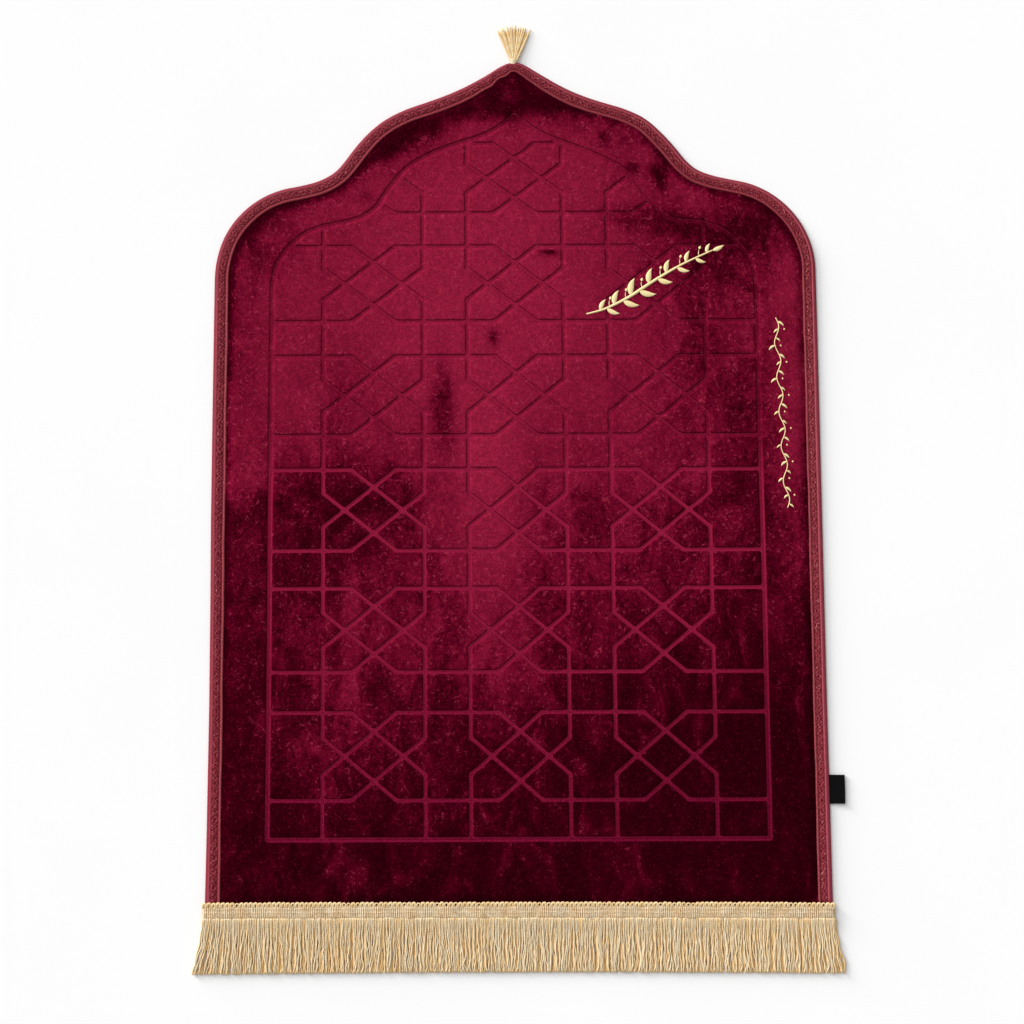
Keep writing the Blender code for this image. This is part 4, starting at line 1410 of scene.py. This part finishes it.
def tassel_wrap():
    """The thread wound round the neck: a helix of close turns, fuller in the middle."""
    turns = 7
    t = np.linspace(0, turns, turns * 20 + 1)
    swell_out = 3.0 + 0.45 * np.sin(math.pi * t / turns)
    x = TASSEL_X - 0.4 * MM + swell_out * MM * 1.12 * np.cos(2 * math.pi * t)
    z = 3.0 * MM + swell_out * MM * 0.66 * np.sin(2 * math.pi * t)
    up = NECK_UP - 4.3 * MM + 7.6 * MM * t / turns
    path = np.stack([x, up - MIDDLE, z], 1)[None]
    radii = np.full((1, len(t)), 0.55 * MM)
    shade = np.array([0.9])
    return cords("tassel_neck", path, radii, 7, PALE_YARN, "tassel_wrap", shade=shade)


LABEL_FROM, LABEL_TO = 0.1236, 0.1604
LABEL_ROOT, LABEL_FOLD = 0.3990, 0.4186


def side_label():
    """A bare ribbon folded in two: a strip 0.44 mm thick follows the fold, thicker at its bound sides."""
    out_to = np.linspace(LABEL_ROOT, LABEL_FOLD, 16)
    bend = np.linspace(0.3, 2.85, 9)
    reach = np.concatenate([out_to, LABEL_FOLD + 1.0 * MM * np.sin(bend), out_to[::-1]])
    level = [np.linspace(2.7, 2.9, 16), 2.1 + 0.8 * np.cos(bend), np.linspace(1.3, 1.5, 16)]
    level = np.concatenate(level) * MM
    share = np.linspace(0, 1, 46)
    up = LABEL_FROM + (LABEL_TO - LABEL_FROM) * share
    border = np.clip(1 - np.minimum(share, 1 - share) / 0.055, 0, 1) ** 0.5
    lift = 0.16 * MM * border
    run = np.gradient(np.stack([reach, level], 1), axis=0)
    run /= np.hypot(*run.T)[:, None]
    out = np.stack([-run[:, 1], run[:, 0]], 1)
    curve_up = 0.5 * MM * ((reach - LABEL_ROOT) / 0.02) ** 2
    middle = np.stack([reach, level], 1)[None]
    outer = middle + (0.22 * MM + lift)[:, None, None] * out[None]
    inner = middle - np.full((len(share), 1, 1), 0.22 * MM) * out[None]
    loop = np.concatenate([outer, inner[:, ::-1]], 1)
    rise = np.concatenate([curve_up, curve_up[::-1]])
    x = loop[..., 0] + 0.35 * MM * np.sin(3.0 * share[:, None])
    points = np.stack([x, np.repeat(up[:, None] - MIDDLE, loop.shape[1], 1), loop[..., 1] + rise], -1)
    return swept("label", points, RIBBON, "side_label")


# ---------------------------------------------------------------- gold thread ornament

STITCH_BASE = 8.15 * MM


def leaf_set(roots, angles, lengths, widths, bends):
    """Satin-stitched leaves: paths that bend by an angle over their length, with pointed ovals across.

    The half width at share t is width sin(pi t^0.8), and the height above the pile follows it.
    """
    stations = 13
    t = np.linspace(0, 1, stations)[None]
    heading_now = angles[:, None] + bends[:, None] * (t - 0.5)
    step = lengths[:, None] / (stations - 1)
    x = roots[:, :1] + np.cumsum(np.cos(heading_now) * step, axis=1) - np.cos(heading_now[:, :1]) * step
    up = roots[:, 1:] + np.cumsum(np.sin(heading_now) * step, axis=1) - np.sin(heading_now[:, :1]) * step
    form = np.sin(math.pi * np.clip(t, 0.015, 0.985) ** 0.8)
    radii = widths[:, None] * form + 0.12 * MM
    rise = 0.25 * MM + 0.65 * MM * np.sqrt(form) * np.minimum(widths[:, None] / (2.2 * MM), 1.0)
    paths = np.stack([x, up - MIDDLE, np.full_like(x, STITCH_BASE)], -1)
    return paths, radii, rise


def stem_set(points, widths, stations=60):
    """A stitched stem through a few points, with half widths for its start, middle and end."""
    knots = np.array(points, float)
    at = np.linspace(0, 1, len(knots))
    share = np.linspace(0, 1, stations)
    smooth = np.stack([np.interp(share, at, knots[:, k]) for k in (0, 1)], 1)
    for _ in range(40):
        smooth[1:-1] = 0.5 * smooth[1:-1] + 0.25 * (smooth[:-2] + smooth[2:])
    path = np.column_stack([smooth[:, 0], smooth[:, 1] - MIDDLE, np.full(stations, STITCH_BASE)])
    radii = np.interp(share, [0, 0.5, 1], widths)
    return path[None], radii[None], np.minimum(radii, 0.8 * MM)[None] + 0.15 * MM


def stitched(name, paths, radii, rise, sides=8):
    """Gold thread laid along paths."""
    cords(name, paths, radii, sides, GOLD_THREAD, None, rise=rise)


def sprig():
    """A leafy spray across the upper right of the field, in flat gold stitches."""
    stem = [(0.094, 0.766), (0.118, 0.772), (0.150, 0.788), (0.185, 0.812), (0.222, 0.834), (0.262, 0.852)]
    path, radii, rise = stem_set(stem, [1.0 * MM, 2.1 * MM, 0.9 * MM], 80)
    stitched("sprig_stem", path, radii, rise)
    line = path[0, :, :2] + (0.0, MIDDLE)
    leaves = 13
    pick = np.linspace(12, 76, leaves).astype(int)
    run = np.gradient(line, axis=0)[pick]
    along = np.arctan2(run[:, 1], run[:, 0])
    side = np.where(np.arange(leaves) % 2 == 0, 1.0, -1.0)
    size = np.interp(np.arange(leaves), [0, 4, 12], [17, 25, 14]) * MM
    roots = np.vstack([line[pick], line[-1:]])
    angles = np.append(along + side * 0.85, along[-1])
    lengths = np.append(size, 17 * MM)
    widths = np.append(size * 0.165, 2.8 * MM)
    bends = np.append(-side * 0.9, 0.5)
    stitched("sprig_leaves", *leaf_set(roots, angles, lengths, widths, bends), 10)
    bud_at = pick[1:-1:2] + 2
    bud_side = side[1:-1:2] * -1
    start = line[bud_at]
    run = np.gradient(line, axis=0)[bud_at]
    turn = np.arctan2(run[:, 1], run[:, 0]) + bud_side * 1.15
    each = np.ones(len(bud_at))
    stalks = leaf_set(start, turn, each * 10 * MM, each * 0.45 * MM, bud_side * -0.8)
    tips = stalks[0][:, -1, :2] + (0.0, MIDDLE)
    buds = leaf_set(tips, turn - bud_side * 0.4, each * 4.6 * MM, each * 1.7 * MM, each * 0)
    stitched("sprig_buds", *(np.vstack(pair) for pair in zip(stalks, buds)))


def side_vine():
    """A slender vine down the right border: a waving stem with small leaves and dots."""
    count, leaves = 150, 23
    t = np.linspace(0, 1, count)
    x = 0.3440 + 0.0100 * t + 3.4 * MM * np.sin(t * 2 * math.pi * 5.5)
    up = 0.760 - 0.254 * t
    stem = np.column_stack([x, up - MIDDLE, np.full(count, STITCH_BASE)])[None]
    radii = np.full((1, count), 0.62 * MM)
    stitched("vine_stem", stem, radii, radii + 0.1 * MM)
    pick = np.linspace(3, count - 4, leaves).astype(int)
    side = np.where(np.arange(leaves) % 2 == 0, 1.0, -1.0)
    roots = np.column_stack([x[pick], up[pick]])
    angles = -math.pi / 2 + side * 0.95
    size = (9.0 + 1.6 * np.cos(np.arange(leaves) * 1.9)) * MM
    stitched("vine_leaves", *leaf_set(roots, angles, size, size * 0.14, -side * 0.8))
    between = pick[1:-1:2]
    dots = np.column_stack([x[between] - 7.2 * MM * side[1:-1:2], up[between] + 1.0 * MM])
    each = np.ones(len(dots))
    stitched("vine_dots", *leaf_set(dots, each * -1.2, each * 2.6 * MM, each * 1.05 * MM, each * 0))


camera_and_light()
panel = velvet_panel()
tape = edge_binding()
woven = heading()
loops = picots()
under = strands("fringe_strands_under", LAYERS[:2], 5, UNDER_YARN)
over = strands("fringe_strands_over", LAYERS[2:], 6, FRINGE_YARN)
tassel()
tassel_wrap()
ribbon = side_label()
sprig()
side_vine()
